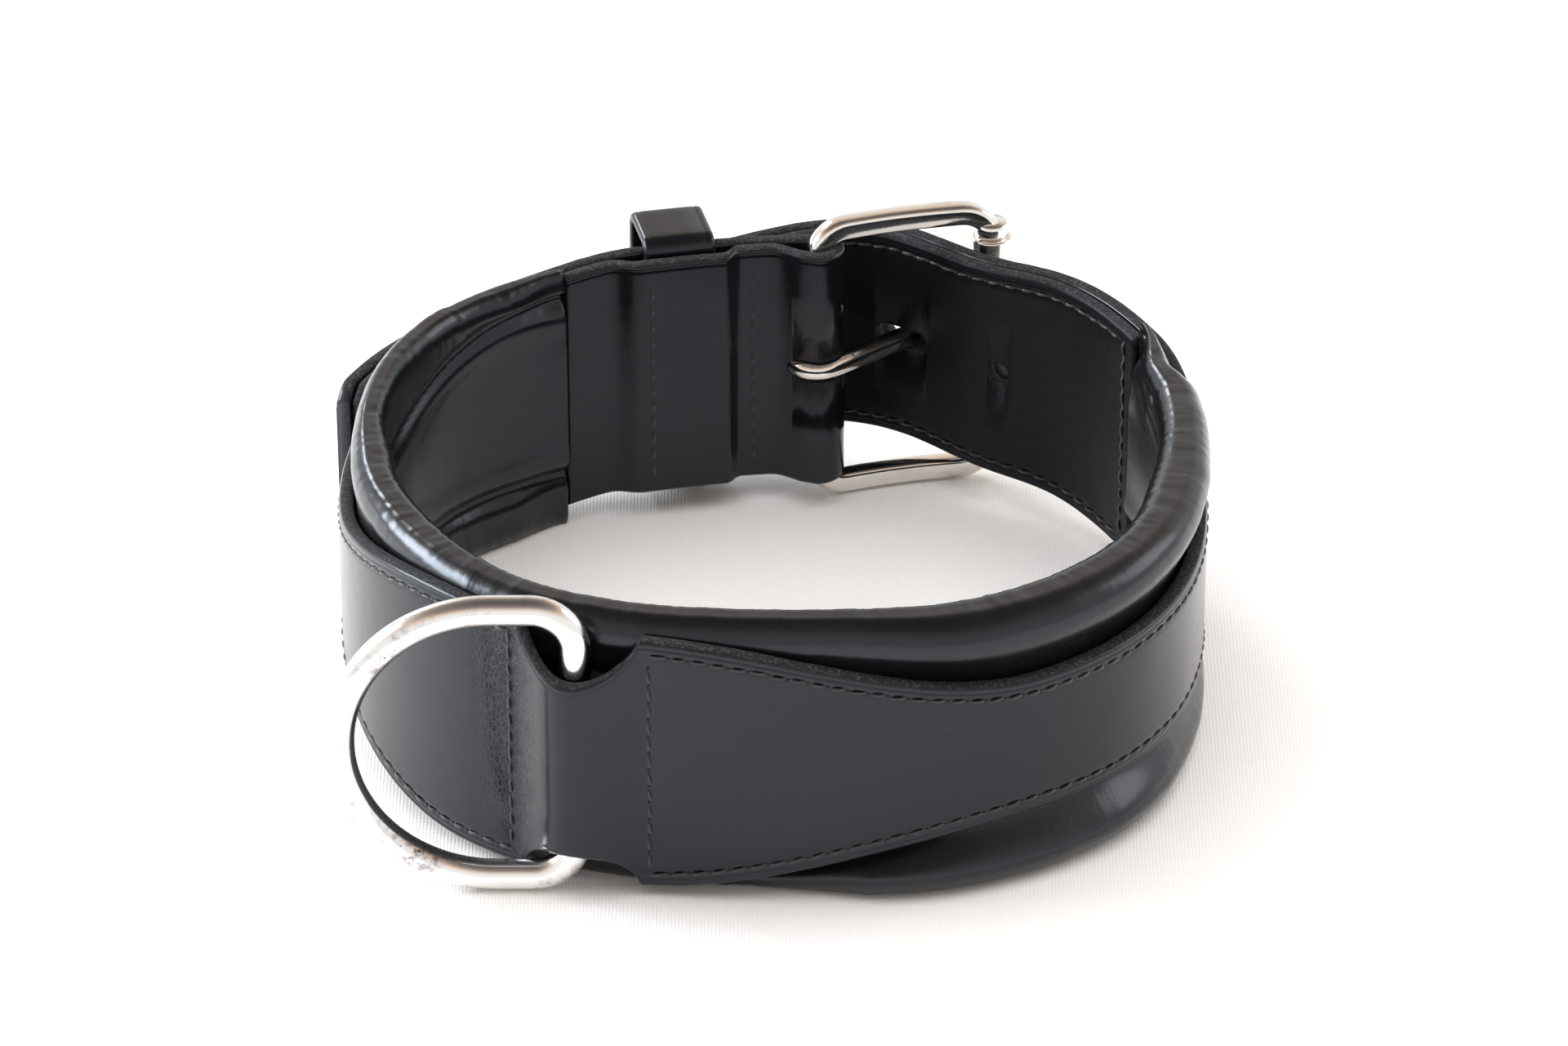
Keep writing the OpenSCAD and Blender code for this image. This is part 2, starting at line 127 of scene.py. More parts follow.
MIDDLE = [(35, 30.3), (62, 27.5), (BODY_END, 27.5), (BODY_END + 38, 30.3), (HOLE_S + 32, 30.3),
          (TIP_S - 40, 25.2), (TIP_S, 25)]
TURNBACK = [(0, 2 * FOLD_R), (9, 0.3), (15, 0.3), (18, 2.9), (35, 2.9), (41, 0.3)]
DEEP = [(BODY_START, 6.4), (85, 6), (119, 5.6), (138, 7.6), (170, 9.9), (213, 9.5), (300, 9.5), (345, 7.8),
        (377, 5.6), (BODY_END, 5)]
SWELL = [(BODY_START, -0.15), (85, 0.4), (138, 0.5), (160, -0.15), (254, -0.15), (285, 2.6), (377, 3.4),
         (BODY_END, 0.5)]
BELLY = [(236, -0.15), (250, 3.5), (275, 5), (310, 5), (345, 3.4), (377, 3.4), (BODY_END, 0.5)]
BELLY_ROLL = [(222, 5.4), (238, 2.6), (266, 5.4), (300, 5.4), (350, 4.4), (BODY_END, 3.8)]
ROLL = [(BODY_START, 4), (138, 4.2), (185, 5.4), (300, 5.4), (350, 4.4), (BODY_END, 3.8)]


def keyed(s, keys):
    """Smooth values between (s, value) keys."""
    s = np.asarray(s, float)
    at = np.array([k[0] for k in keys], float)
    value = np.array([k[1] for k in keys], float)
    i = np.clip(np.searchsorted(at, s, side="right") - 1, 0, len(at) - 2)
    x = np.clip((s - at[i]) / (at[i + 1] - at[i]), 0, 1)
    return value[i] + (value[i + 1] - value[i]) * x * x * (3 - 2 * x)


def half(s):
    return keyed(s, WIDTH)


def middle(s):
    return keyed(s, MIDDLE)


def lift(s):
    x = np.clip(np.abs((np.asarray(s, float) - RING_S) / RING_ROW), 0, 1)
    return 2 * RING_UP * (1 + np.cos(np.pi * x)) / 2


def turnback(s):
    return -keyed(s, TURNBACK)


# The record's own joint places the centre line in the part's frame.
RING_AT = np.array(JOINTS["ring_swing"]["pos_m"][:2]) / MM
ORIGIN = spot(RING_S) + RING_UP * outward(RING_S) - RING_AT


def place(s, u, z):
    """Points in millimetres in the part's frame. s, u and z broadcast."""
    s, u, z = np.broadcast_arrays(np.asarray(s, float), np.asarray(u, float), np.asarray(z, float))
    p = spot(s) + u[..., None] * outward(s) - ORIGIN
    return np.concatenate([p, z[..., None]], -1)


# ------------------------ mesh helpers
def fractal(points, scale, seed=0.0, octaves=3):
    """Smooth noise from -1 to 1 at points (n, 3), where scale is its wavelength in the points' own unit."""
    flat = np.asarray(points, float).reshape(-1, 3) / scale
    got = np.array([noise.fractal(Vector((x + seed, y - seed, z)), 0.9, 2.0, octaves) for x, y, z in flat])
    return got.reshape(np.shape(points)[:-1])


def mesh_object(name, verts, faces, mats, flow=None, smooth=True):
    mesh = bpy.data.meshes.new(name)
    mesh.from_pydata([tuple(v) for v in np.asarray(verts) * MM], [], [tuple(int(i) for i in f) for f in faces])
    mesh.validate()
    for m in mats:
        mesh.materials.append(m)
    if smooth:
        mesh.polygons.foreach_set("use_smooth", [True] * len(mesh.polygons))
    if flow is not None:
        layer = mesh.attributes.new("flow", "FLOAT_VECTOR", "POINT")
        layer.data.foreach_set("vector", np.asarray(flow, np.float32).ravel())
    mesh.update()
    obj = bpy.data.objects.new(name, mesh)
    bpy.context.scene.collection.objects.link(obj)
    return obj


def grid_of(*parts):
    """Three coordinates that broadcast against each other, as one grid of points."""
    return np.stack(np.broadcast_arrays(*parts), -1)


def grid_faces(rows, cols, closed=True):
    """Quads over a grid of points, listed row by row. closed joins each row's last point to its first."""
    i = np.arange(rows - 1)[:, None]
    j = np.arange(cols if closed else cols - 1)[None, :]
    k = (j + 1) % cols
    quads = np.stack([i * cols + j + 0 * i, (i + 1) * cols + j, (i + 1) * cols + k, i * cols + k + 0 * i], -1)
    return quads.reshape(-1, 4).tolist()


def skin(name, rings, mats, flow=None):
    """A closed skin over rings of points (rows, cols, 3), with flat caps at both ends and faces looking outward."""
    rows, cols = rings.shape[:2]
    faces = grid_faces(rows, cols) + [list(range(cols)), [(rows - 1) * cols + j for j in reversed(range(cols))]]
    obj = mesh_object(name, rings.reshape(-1, 3), faces, mats, flow)
    finish_normals(obj)
    return obj


def finish_normals(obj):
    """Makes every face look outward."""
    b = bmesh.new()
    b.from_mesh(obj.data)
    bmesh.ops.recalc_face_normals(b, faces=b.faces)
    b.to_mesh(obj.data)
    b.free()


def sweep(name, path, section, mats, up, closed=False, scale=None):
    """A tube along a path. section is (cols, 2), or (rows, cols, 2) if it differs from one path point to the next."""
    path = np.asarray(path, float)
    ahead = np.roll(path, -1, 0) - np.roll(path, 1, 0)
    if not closed:
        ahead[0], ahead[-1] = path[1] - path[0], path[-1] - path[-2]
    ahead /= np.linalg.norm(ahead, axis=1)[:, None]
    up = np.broadcast_to(np.asarray(up, float), path.shape)
    side = np.cross(ahead, up)
    side /= np.linalg.norm(side, axis=1)[:, None]
    top = np.cross(side, ahead)
    sections = np.broadcast_to(section, (len(path),) + np.shape(section)[-2:])
    if scale is not None:
        sections = sections * scale[:, None, None]
    rings = path[:, None] + sections[..., :1] * side[:, None] + sections[..., 1:] * top[:, None]
    if closed:
        rings = np.concatenate([rings, rings[:1]])
        rows, cols = rings.shape[:2]
        faces = [[i % ((rows - 1) * cols) for i in f] for f in grid_faces(rows, cols)]
        obj = mesh_object(name, rings[:-1].reshape(-1, 3), faces, mats)
        finish_normals(obj)
        return obj
    return skin(name, rings, mats)


def superellipse(a, b, power, n=28):
    t = np.arange(n) * 2 * np.pi / n
    c, s = np.cos(t), np.sin(t)
    return np.stack([a * np.sign(c) * np.abs(c) ** (2 / power), b * np.sign(s) * np.abs(s) ** (2 / power)], -1)


def join(objects, name):
    """Several objects as one mesh piece."""
    verts, faces, start, mats = [], [], 0, list(objects[0].data.materials)
    for o in objects:
        verts += [tuple(v.co / MM) for v in o.data.vertices]
        faces += [[start + i for i in f.vertices] for f in o.data.polygons]
        start += len(o.data.vertices)
    for o in objects:
        bpy.data.objects.remove(o)
    return mesh_object(name, verts, faces, mats)


# ------------------------ materials
class Nodes:
    """Short calls for building a shader."""

    def __init__(self, name):
        self.mat = bpy.data.materials.new(name)
        self.mat.use_nodes = True
        self.tree = self.mat.node_tree
        self.shader = self.tree.nodes["Principled BSDF"]

    def add(self, kind, inputs=None, **props):
        n = self.tree.nodes.new(kind)
        for k, v in props.items():
            setattr(n, k, v)
        for k, v in (inputs or {}).items():
            if isinstance(v, bpy.types.NodeSocket):
                self.tree.links.new(v, n.inputs[k])
            else:
                n.inputs[k].default_value = v
        return n

    def set(self, **inputs):
        for k, v in inputs.items():
            socket = self.shader.inputs[k.replace("_", " ")]
            if isinstance(v, bpy.types.NodeSocket):
                self.tree.links.new(v, socket)
            else:
                socket.default_value = v

    def noise(self, vector, scale, detail=3.0, rough=0.55):
        return self.add("ShaderNodeTexNoise", {"Vector": vector, "Scale": scale, "Detail": detail,
                                               "Roughness": rough}).outputs["Fac"]

    def ramp(self, fac, *stops):
        n = self.add("ShaderNodeValToRGB", {"Fac": fac})
        e = n.color_ramp.elements
        while len(e) < len(stops):
            e.new(0.5)
        for k, (at, colour) in zip(e, stops):
            k.position = at
            k.color = (*colour, 1) if hasattr(colour, "__len__") else (colour, colour, colour, 1)
        return n.outputs["Color"]

    def maths(self, op, a, b=0.0):
        n = self.add("ShaderNodeMath", operation=op)
        for i, v in enumerate((a, b)):
            if isinstance(v, bpy.types.NodeSocket):
                self.tree.links.new(v, n.inputs[i])
            else:
                n.inputs[i].default_value = v
        return n.outputs[0]

    def mix(self, fac, a, b):
        n = self.add("ShaderNodeMix", data_type="RGBA")
        for i, v in ((0, fac), (6, a), (7, b)):
            if isinstance(v, bpy.types.NodeSocket):
                self.tree.links.new(v, n.inputs[i])
            else:
                n.inputs[i].default_value = v if i == 0 else (*v, 1)
        return n.outputs[2]

    def bump(self, height, strength, distance, normal=None):
        inputs = {"Height": height, "Strength": strength, "Distance": distance}
        if normal is not None:
            inputs["Normal"] = normal
        return self.add("ShaderNodeBump", inputs).outputs["Normal"]

    def scaled(self, vector, scale):
        return self.add("ShaderNodeVectorMath", {0: vector, 1: scale}, operation="MULTIPLY").outputs["Vector"]


def leather(name, tint, rough, grain, wrinkle, coat, wear=0.5, cracked=None, shine=0.4):
    """Black leather, cracked round the place s = cracked. flow is (s, z, distance from the edge) in metres."""
    n = Nodes(name)
    place_ = n.add("ShaderNodeTexCoord").outputs["Object"]
    flow = n.add("ShaderNodeAttribute", attribute_name="flow").outputs["Vector"]
    split = n.add("ShaderNodeSeparateXYZ", {"Vector": flow})
    pores = n.add("ShaderNodeTexVoronoi", {"Vector": place_, "Scale": 1900.0, "Randomness": 1.0},
                  feature="SMOOTH_F1").outputs["Distance"]
    fine = n.noise(place_, 1500.0, 4.0, 0.65)
    waves = n.noise(place_, 55.0, 3.0, 0.5)
    # creases across the strap, closer together along it than across it
    crease = n.noise(n.scaled(flow, (950.0, 120.0, 0.0)), 1.0, 3.0, 0.6)
    cloud = n.noise(place_, 30.0, 4.0, 0.6)
    scratch = n.noise(n.scaled(flow, (60.0, 900.0, 0.0)), 1.0, 2.0, 0.5)
    worn = n.ramp(scratch, (0.66, 0.0), (0.74, 1.0))
    edge = n.ramp(n.maths("MULTIPLY", split.outputs["Z"], 1000.0), (0.25, 1.0), (0.9, 0.0))
    rub = n.maths("MULTIPLY", edge, n.ramp(fine, (0.5, 0.0), (0.66, 1.0)))
    base = n.mix(cloud, tuple(c * 0.75 for c in tint), tuple(c * 1.3 for c in tint))
    base = n.mix(n.maths("MULTIPLY", worn, 0.1 * wear), base, (0.09, 0.09, 0.1))
    base = n.mix(n.maths("MULTIPLY", rub, 0.45 * wear), base, (0.11, 0.1, 0.095))
    r = n.add("ShaderNodeMapRange", {"Value": cloud, "From Min": 0.3, "From Max": 0.7, "To Min": rough - 0.05,
                                     "To Max": rough + 0.07}).outputs["Result"]
    r = n.maths("ADD", r, n.maths("MULTIPLY", edge, 0.22))
    r = n.maths("ADD", r, n.maths("MULTIPLY", worn, 0.08))
    normal = n.bump(waves, 0.35, 0.0006)
    normal = n.bump(crease, wrinkle, 0.0001, normal)
    normal = n.bump(pores, grain * 0.6, 0.00005, normal)
    normal = n.bump(fine, grain, 0.00006, normal)
    if cracked is not None:
        away = n.maths("ABSOLUTE", n.maths("SUBTRACT", n.maths("MULTIPLY", split.outputs["X"], 1000.0), cracked))
        near = n.maths("MULTIPLY", n.ramp(n.maths("DIVIDE", away, 8.0), (0.15, 1.0), (1.0, 0.0)),
                       n.ramp(cloud, (0.35, 0.0), (0.6, 1.0)))
        web = n.add("ShaderNodeTexVoronoi", {"Vector": n.scaled(flow, (1.0, 0.6, 0.0)), "Scale": 1300.0},
                    feature="DISTANCE_TO_EDGE").outputs["Distance"]
        crack = n.maths("MULTIPLY", n.ramp(web, (0.02, 1.0), (0.12, 0.0)), near)
        base = n.mix(n.maths("MULTIPLY", crack, 0.7), base, (0.05, 0.05, 0.055))
        r = n.maths("ADD", r, n.maths("MULTIPLY", near, 0.2))
        normal = n.bump(n.maths("MULTIPLY", crack, -1.0), 0.6, 0.0002, normal)
    n.set(Base_Color=base, Roughness=r, Normal=normal)
    n.shader.inputs["Specular IOR Level"].default_value = shine
    n.shader.inputs["Specular Tint"].default_value = (0.78, 0.87, 1.0, 1)
    n.shader.inputs["Coat Tint"].default_value = (0.97, 0.985, 1.0, 1)
    n.shader.inputs["Coat Weight"].default_value = coat
    n.shader.inputs["Coat Roughness"].default_value = 0.16
    return n.mat


def chrome(name, tint, rough, tarnish, painted_warm_reflection):
    """Nickel plate with dark violet-brown tarnish, pits and fine polishing lines, and golden-brown patches that are a
    painted warm reflection of the surroundings.
    """
    n = Nodes(name)
    at = n.add("ShaderNodeTexCoord").outputs["Object"]
    blotch = n.noise(at, 90.0, 5.0, 0.62)
    speck = n.noise(at, 520.0, 4.0, 0.7)
    warm_reflection_patches = n.noise(at, 45.0, 2.0, 0.5)
    stain = n.maths("MULTIPLY", n.ramp(blotch, (0.5, 0.0), (0.66, 1.0)), n.ramp(speck, (0.44, 0.15), (0.62, 1.0)))
    pit = n.ramp(n.add("ShaderNodeTexVoronoi", {"Vector": at, "Scale": 420.0}).outputs["Distance"],
                 (0.06, 1.0), (0.16, 0.0))
    pit = n.maths("MULTIPLY", pit, n.ramp(blotch, (0.5, 0.0), (0.6, 1.0)))
    # painted warm reflection: golden-brown patches mixed into the plate's own colour
    base = n.mix(n.maths("MULTIPLY", warm_reflection_patches, painted_warm_reflection), tint, (0.72, 0.56, 0.4))
    base = n.mix(n.maths("MULTIPLY", stain, tarnish), base, (0.17, 0.12, 0.15))
    base = n.mix(n.maths("MULTIPLY", pit, tarnish), base, (0.05, 0.035, 0.04))
    r = n.maths("ADD", n.maths("MULTIPLY", stain, 0.3 * tarnish), rough)
    normal = n.bump(n.noise(at, 240.0, 3.0), 0.12, 0.0002)
    normal = n.bump(pit, 0.6 * tarnish, 0.0001, normal)
    normal = n.bump(n.noise(n.scaled(at, (3000.0, 3000.0, 500.0)), 1.0, 2.0), 0.04, 0.00005, normal)
    n.set(Base_Color=base, Roughness=r, Normal=normal)
    n.shader.inputs["Metallic"].default_value = 1.0
    return n.mat


def fibre(name, tint, scale, rough=0.75):
    n = Nodes(name)
    at = n.add("ShaderNodeTexCoord").outputs["Object"]
    twist = n.noise(at, scale, 4.0, 0.7)
    n.set(Base_Color=n.mix(twist, tuple(c * 0.6 for c in tint), tuple(c * 1.7 for c in tint)),
          Roughness=rough, Normal=n.bump(twist, 0.7, 0.0001))
    n.shader.inputs["Sheen Weight"].default_value = 0.25
    n.shader.inputs["Sheen Roughness"].default_value = 0.5
    return n.mat


BRIDLE = leather("bridle_leather", (0.0045, 0.0048, 0.0058), 0.18, 0.2, 0.14, 0.2,
                 cracked=REAR_ROW, shine=0.34)
LINER = leather("liner_leather", (0.0042, 0.0042, 0.0048), 0.36, 0.75, 0.3, 0.0, shine=0.2)
LINING = leather("lining_leather", (0.0045, 0.0046, 0.0052), 0.24, 0.3, 0.45, 0.2, 0.15, shine=0.42)
EDGE = leather("leather_edge", (0.012, 0.0115, 0.012), 0.62, 1.0, 0.2, 0.0, 1.0)
# The last number of each plate is how strongly its painted warm reflection is mixed in.
STEEL = chrome("nickel_plate", (0.9, 0.88, 0.85), 0.1, 0.35, 0.35)
RING_STEEL = chrome("nickel_plate_worn", (0.93, 0.92, 0.91), 0.16, 0.9, 0.12)
THREAD = fibre("waxed_thread", (0.006, 0.0062, 0.007), 5200.0, 0.3)
# near-black material that paints the shade inside the needle holes
NEEDLE_HOLE_SHADE = fibre("needle_hole_shade", (0.001, 0.001, 0.001), 5200.0, 0.9)
FELT = fibre("wool_felt", (0.16, 0.15, 0.14), 1600.0, 0.95)


# ------------------------ strap and liner
NOTCH_R, NOTCH_DEPTH, TAB_HALF = 11.5, 7.8, 25.5
NOTCH_MID = TAB_HALF + NOTCH_R - NOTCH_DEPTH
NOTCH_AT = RING_S + 0.2
NOTCH_REACH = math.sqrt(NOTCH_R ** 2 - (NOTCH_MID - TAB_HALF) ** 2)


def edge_height(s):
    """Half width of the strap with the ring's notches bitten out."""
    h = half(s)
    ds = np.abs(np.asarray(s, float) - NOTCH_AT)
    bite = NOTCH_MID - np.sqrt(np.maximum(NOTCH_R ** 2 - ds ** 2, 0))
    return np.where(ds < NOTCH_REACH, np.minimum(h, bite), h)


def stitched(s, spans):
    """1 along the stitched stretches and 0 elsewhere, with soft ends."""
    s = np.asarray(s, float)
    return sum(np.clip((s - a) / 2 + 0.5, 0, 1) * np.clip((b - s) / 2 + 0.5, 0, 1) for a, b in spans)


# Section of a leather layer from the middle to its edge: (distance from the edge, depth below the grain face).
GROOVE = 0.2
RIM_OUT = [(9.0, 0), (6.0, 0), (4.4, 0), (3.7, 0.02), (3.25, 0.5), (2.9, 1.0), (2.55, 0.5), (2.1, 0.02), (1.75, 0),
           (1.5, -0.12), (1.3, -0.2), (1.1, -0.1), (0.9, 0.05), (0.62, 0.16), (0.36, 0.36), (0.15, 0.66),
           (0.03, 1.05)]


def layer_section(thick, h, stitch, crease):
    """Rings of (depth from the flesh face, height) for stations with half widths h. Grain side first."""
    rows = len(h)
    out = []
    for d, v in RIM_OUT:
        if d in (3.7, 3.25, 2.9, 2.55, 2.1):
            sink = v * GROOVE * stitch
        elif v < 0:
            sink = -v * crease
        else:
            sink = v + 0 * stitch
        if d > 3.0:
            height = np.maximum(h - d, h * (1 - d / 12.5) * 0.9)
        else:
            height = h - d
        out.append(np.stack([thick - sink, height + 0 * stitch], -1))
    back = [(0.0, min(1.35, thick - 1.1)), (0.1, 0.55), (0.35, 0.22), (0.8, 0.03), (1.6, 0.0), (4.0, 0.0)]
    for d, v in back:
        out.append(np.stack([v + np.zeros(rows), h - d], -1))
    top = np.stack(out, 1)
    low = top[:, ::-1] * np.array([1, -1])
    return np.concatenate([top, low], 1)


def layer_flow(s, section, h):
    from_edge = np.maximum(h[:, None] - np.abs(section[..., 1]), 0)
    return grid_of(s[:, None], section[..., 1], from_edge) * MM


def assemble(base, grain_dir, mid, section):
    """World rings from a base point, the direction to the grain face, the middle height and a section."""
    rings = np.empty(section.shape[:2] + (3,))
    rings[..., :2] = base[:, None] + section[..., :1] * grain_dir[:, None]
    rings[..., 2] = mid[:, None] + section[..., 1]
    return rings


# How far the cutters reach to each side of the strap's inner face.
CUT_DEPTH = 9.0


def hole_cutter(centre, direction, long=0.0):
    """A cutter for a billet hole, which is a slot where long is more than 0."""
    direction = np.asarray(direction, float)
    side = np.array([-direction[1], direction[0], 0.0])
    angles = np.arange(40) * 2 * np.pi / 40
    rings = []
    radius = HOLE_D / 2
    x = np.where(np.cos(angles) > 0, long, 0.0) + radius * np.cos(angles)
    z = radius * np.sin(angles)
    for at in (-CUT_DEPTH, CUT_DEPTH):
        rings.append(centre + at * direction + x[:, None] * side + z[:, None] * np.array([0, 0, 1.0]))
    return skin("cutter", np.array(rings), [EDGE])


def cut(obj, cutters):
    """Subtracts the cutters, and applies the result."""
    for c in cutters:
        m = obj.modifiers.new("cut", "BOOLEAN")
        m.operation, m.object, m.solver = "DIFFERENCE", c, "EXACT"
    apply_modifiers(obj)
    for c in cutters:
        bpy.data.objects.remove(c)


def apply_modifiers(obj):
    dg = bpy.context.evaluated_depsgraph_get()
    mesh = bpy.data.meshes.new_from_object(obj.evaluated_get(dg), preserve_all_data_layers=True, depsgraph=dg)
    obj.modifiers.clear()
    obj.data = mesh


def punch(s):
    """Cutter for one round hole of the billet at s."""
    return hole_cutter(place(s, 0, middle(s)), (*outward(s), 0))


def billet_cutters():
    """Cutters for the round holes and for the slot that the prong stands in."""
    across = (*outward(SLOT_START + SLOT_RUN / 2), 0)
    slot = hole_cutter(place(SLOT_START, 0, middle(HOLE_S)), across, long=SLOT_RUN)
    return [punch(HOLE_S + i * HOLE_PITCH) for i in (-1, 1, 2, 3)] + [slot]


HEEL = np.array(JOINTS["frame_pivot"]["pos_m"]) / MM


def prong_slot_cutter():
    """A cutter for the slot in the fold round the heel bar, which the prong's eye turns in."""
    o, t = outward(0.0), along(0.0)
    half_long, half_high, back = 6.2, 2.35, 1.4
    outline = superellipse(half_long, half_high, 5, 32)
    centre = HEEL - np.array([t[0], t[1], 0]) * back
    rings = [centre + np.append(o, 0) * k + outline[:, :1] * np.append(t, 0) + outline[:, 1:] * np.array([0, 0, 1.0])
             for k in (-CUT_DEPTH, CUT_DEPTH)]
    return skin("cutter", np.array(rings), [EDGE])


def build_strap():
    edge_a, edge_b = NOTCH_AT - NOTCH_REACH, NOTCH_AT + NOTCH_REACH
    tb = np.arange(TURNBACK_END, 2.0, -1.0)
    run = np.unique(np.round(np.concatenate([
        np.arange(2.0, edge_a, 1.0), [edge_a - 0.05], np.arange(edge_a + 0.02, edge_b, 0.3),
        [edge_b - 0.02, edge_b + 0.05], np.arange(edge_b + 0.6, TIP_START, 1.0),
        TIP_START + TIP_ROUND * np.sin(np.linspace(0, np.pi / 2, 9))]), 4))
    angles = np.radians(np.arange(0, 181, 7.5))
    o, t = outward(0.0), -along(0.0)
    turned = -np.cos(angles)[:, None] * o + np.sin(angles)[:, None] * t
    base = np.concatenate([place(tb, turnback(tb), 0)[:, :2], HEEL[:2] + FOLD_R * turned,
                           place(run, lift(run), 0)[:, :2]])
    grain = np.concatenate([-outward(tb), turned, outward(run)])
    s_all = np.concatenate([-tb, np.zeros(len(angles)), run])
    mid = middle(np.abs(s_all))
    h = np.where(s_all > 0, edge_height(np.abs(s_all)), half(np.abs(s_all)))
    h = np.where(s_all > TIP_START, 20 - 3 * ((s_all - TIP_START) / TIP_ROUND) ** 2, h)
    stitch = stitched(s_all, [(SIDE_FROM, REAR_ROW), (FRONT_ROW, TIP_ROW)])
    near_ring = np.clip(1 - np.abs(s_all - NOTCH_AT) / 13, 0, 1)
    section = layer_section(STRAP_T, h, stitch, np.where(s_all < 8, 0.4, 1.0) * (1 - 0.5 * near_ring))
    flow = layer_flow(s_all, section, h)
    # a soft unevenness of the leather, and a sunk line along each upright row of stitches
    rows = np.array([REAR_ROW, FRONT_ROW, PAD_ROW, TIP_ROW])
    on_grain = np.clip((section[..., 0] - 2.2) / 0.6, 0, 1)
    sunk = np.exp(-((s_all[:, None] - rows) / 0.5) ** 2).max(1)
    inner = np.abs(section[..., 1]) < (h - 2.2)[:, None]
    section[..., 0] -= GROOVE * sunk[:, None] * on_grain * inner
    pts = grid_of(s_all[:, None], section[..., 1], 0)
    section[..., 0] += 0.1 * on_grain * fractal(pts, 24.0, 3.0, 2)
    rim = np.exp(-flow[..., 2] / MM / 0.5)
    section[..., 1] += np.sign(section[..., 1]) * rim * 0.1 * fractal(pts * (1, 0.2, 1), 3.0, 9.0, 3)
    obj = skin("strap", assemble(base, grain, mid, section), [BRIDLE, EDGE], flow)
    cut(obj, billet_cutters() + [prong_slot_cutter()])
    paint_edges(obj)
    return obj


# A face belongs to the raw edge if it faces up or down this much, and lies this near the edge (metres).
EDGE_TILT, EDGE_WIDTH = 0.72, 0.00065


def paint_edges(obj):
    """Gives the narrow faces at the leather's edge and in its holes the raw edge's material."""
    edge = list(obj.data.materials).index(EDGE)
    flow = obj.data.attributes.get("flow")
    for p in obj.data.polygons:
        if abs(p.normal.z) > EDGE_TILT and min(flow.data[i].vector.z for i in p.vertices) < EDGE_WIDTH:
            p.material_index = edge


def build_liner():
    s = np.unique(np.concatenate([np.arange(BODY_END + 0.4, TIP_START, 1.0),
                                  TIP_START + 3.8 * np.sin(np.linspace(0, np.pi / 2, 9))]))
    h = half(s) - 0.1
    h = np.where(s > TIP_START, 19.9 - 3 * ((s - TIP_START) / TIP_ROUND) ** 2, h)
    section = layer_section(LINER_T, h, stitched(s, [(BILLET_FROM, TIP_ROW)]), np.full(len(s), 0.5))
    flow = layer_flow(s, section, h)
    pts = grid_of(s[:, None], section[..., 1], 0)
    on_face = np.clip((section[..., 0] - 1.8) / 0.6, 0, 1)
    section[..., 0] += on_face * (0.09 * fractal(pts, 9.0, 5.0, 3))
    obj = skin("billet_back", assemble(place(s, -LINER_GAP, 0)[:, :2], -outward(s), middle(s), section),
               [LINER, EDGE], flow)
    cut(obj, billet_cutters())
    paint_edges(obj)
    return obj


# ------------------------ padded body
H = BODY_H / 2
THIN, UNDER, FOOT = 0.78, 9.0, 1.07
SKIN_GAP, LINER_GAP, BULGE_RISE = 0.3, 0.2, 2.0
# The skin lies behind the strap where its u is over this, and a point far from any edge has this distance.
BEHIND, NO_EDGE = -0.45, 9.0


def body_half(s, side):
    """Keyed sizes of one edge of the padded body: side is -1 for the lower one."""
    belly = (side < 0) & (s > 200)
    v = np.where(belly, keyed(s, BELLY_ROLL), keyed(s, ROLL))
    free = np.maximum(0, H - v - 1.5 - half(s))
    out = np.minimum(np.where(belly, keyed(s, BELLY), keyed(s, SWELL)), SWELL[0][1] + BULGE_RISE * free)
    deep = keyed(s, DEEP) - 0.4 * (out - keyed(s, SWELL))
    # both ends of the pad are pared thin
    deep = deep * keyed(s, [(BODY_START, 0.6), (BODY_START + 14, 1), (BODY_END - 16, 1), (BODY_END, 0.35)])
    return out, v, deep


def body_section(s, side, n_flank=14, n_roll=26, n_inner=30):
    """Half of the outer contour, from behind the strap round the roll to mid height: (rows, points, 2)."""
    out, v, deep = body_half(s, side)
    edge = np.minimum(half(s) + 0.4, H - v - 1.5)
    c, ru = (out - deep) / 2, (out + deep) / 2
    points = [np.stack([-SKIN_GAP + 0 * s, UNDER - edge], -1), np.stack([-SKIN_GAP + 0 * s, 2 - edge], -1)]
    start = np.stack([-SKIN_GAP + 0 * s, 0.2 - edge], -1)
    end = np.stack([c + ru, v - H], -1)
    for k in np.linspace(0, 1, n_flank, endpoint=False):
        # leaves the strap's edge gently and meets the roll upright
        e = k * k * (3 - 2 * k) * 0.75 + k * 0.25
        point = np.stack([start[:, 0] + (end[:, 0] - start[:, 0]) * e,
                          start[:, 1] + (end[:, 1] - start[:, 1]) * k], -1)
        points.append(point)
    for a in np.radians(np.linspace(0, -180, n_roll)):
        points.append(np.stack([c + ru * np.cos(a), np.maximum(-H, v - H + FOOT * v * np.sin(a))], -1))
    # the inner side: a full roll, a valley along the stitching and a soft panel between
    web = -THIN * keyed(s, DEEP)
    inner_u = c - ru
    line = np.minimum(-(half(s) - INSET), -3.0)
    if side < 0:
        line = np.maximum(line, 11.5 - H)
    line = np.minimum(line, -5.0)
    valley = 1.5 * np.clip((150 - s) / 40, 0.45, 1.0)
    for k in np.linspace(0, 1, n_inner + 1)[1:]:
        z = (v - H) * (1 - k)
        t = np.clip((z - (v - H)) / np.maximum(-UNDER - (v - H), 1), 0, 1)
        u = inner_u + (web - inner_u) * t * t * (3 - 2 * t)
        u = u + valley * np.exp(-((z - line) / 1.9) ** 2) - 0.5 * np.exp(-((z - line - 4.2) / 2.4) ** 2)
        points.append(np.stack([u, z], -1))
    return np.stack(points, 1)


def body_contour(s):
    low = body_section(s, -1)
    top = body_section(s, 1) * np.array([1, -1])
    return np.concatenate([low, top[:, -2::-1]], 1)


# The cloth simulation: its pressure, how far it may move a point at most (mm), and its number of frames.
PRESSURE, MOST, FRAMES = 1.2, 0.5, 20


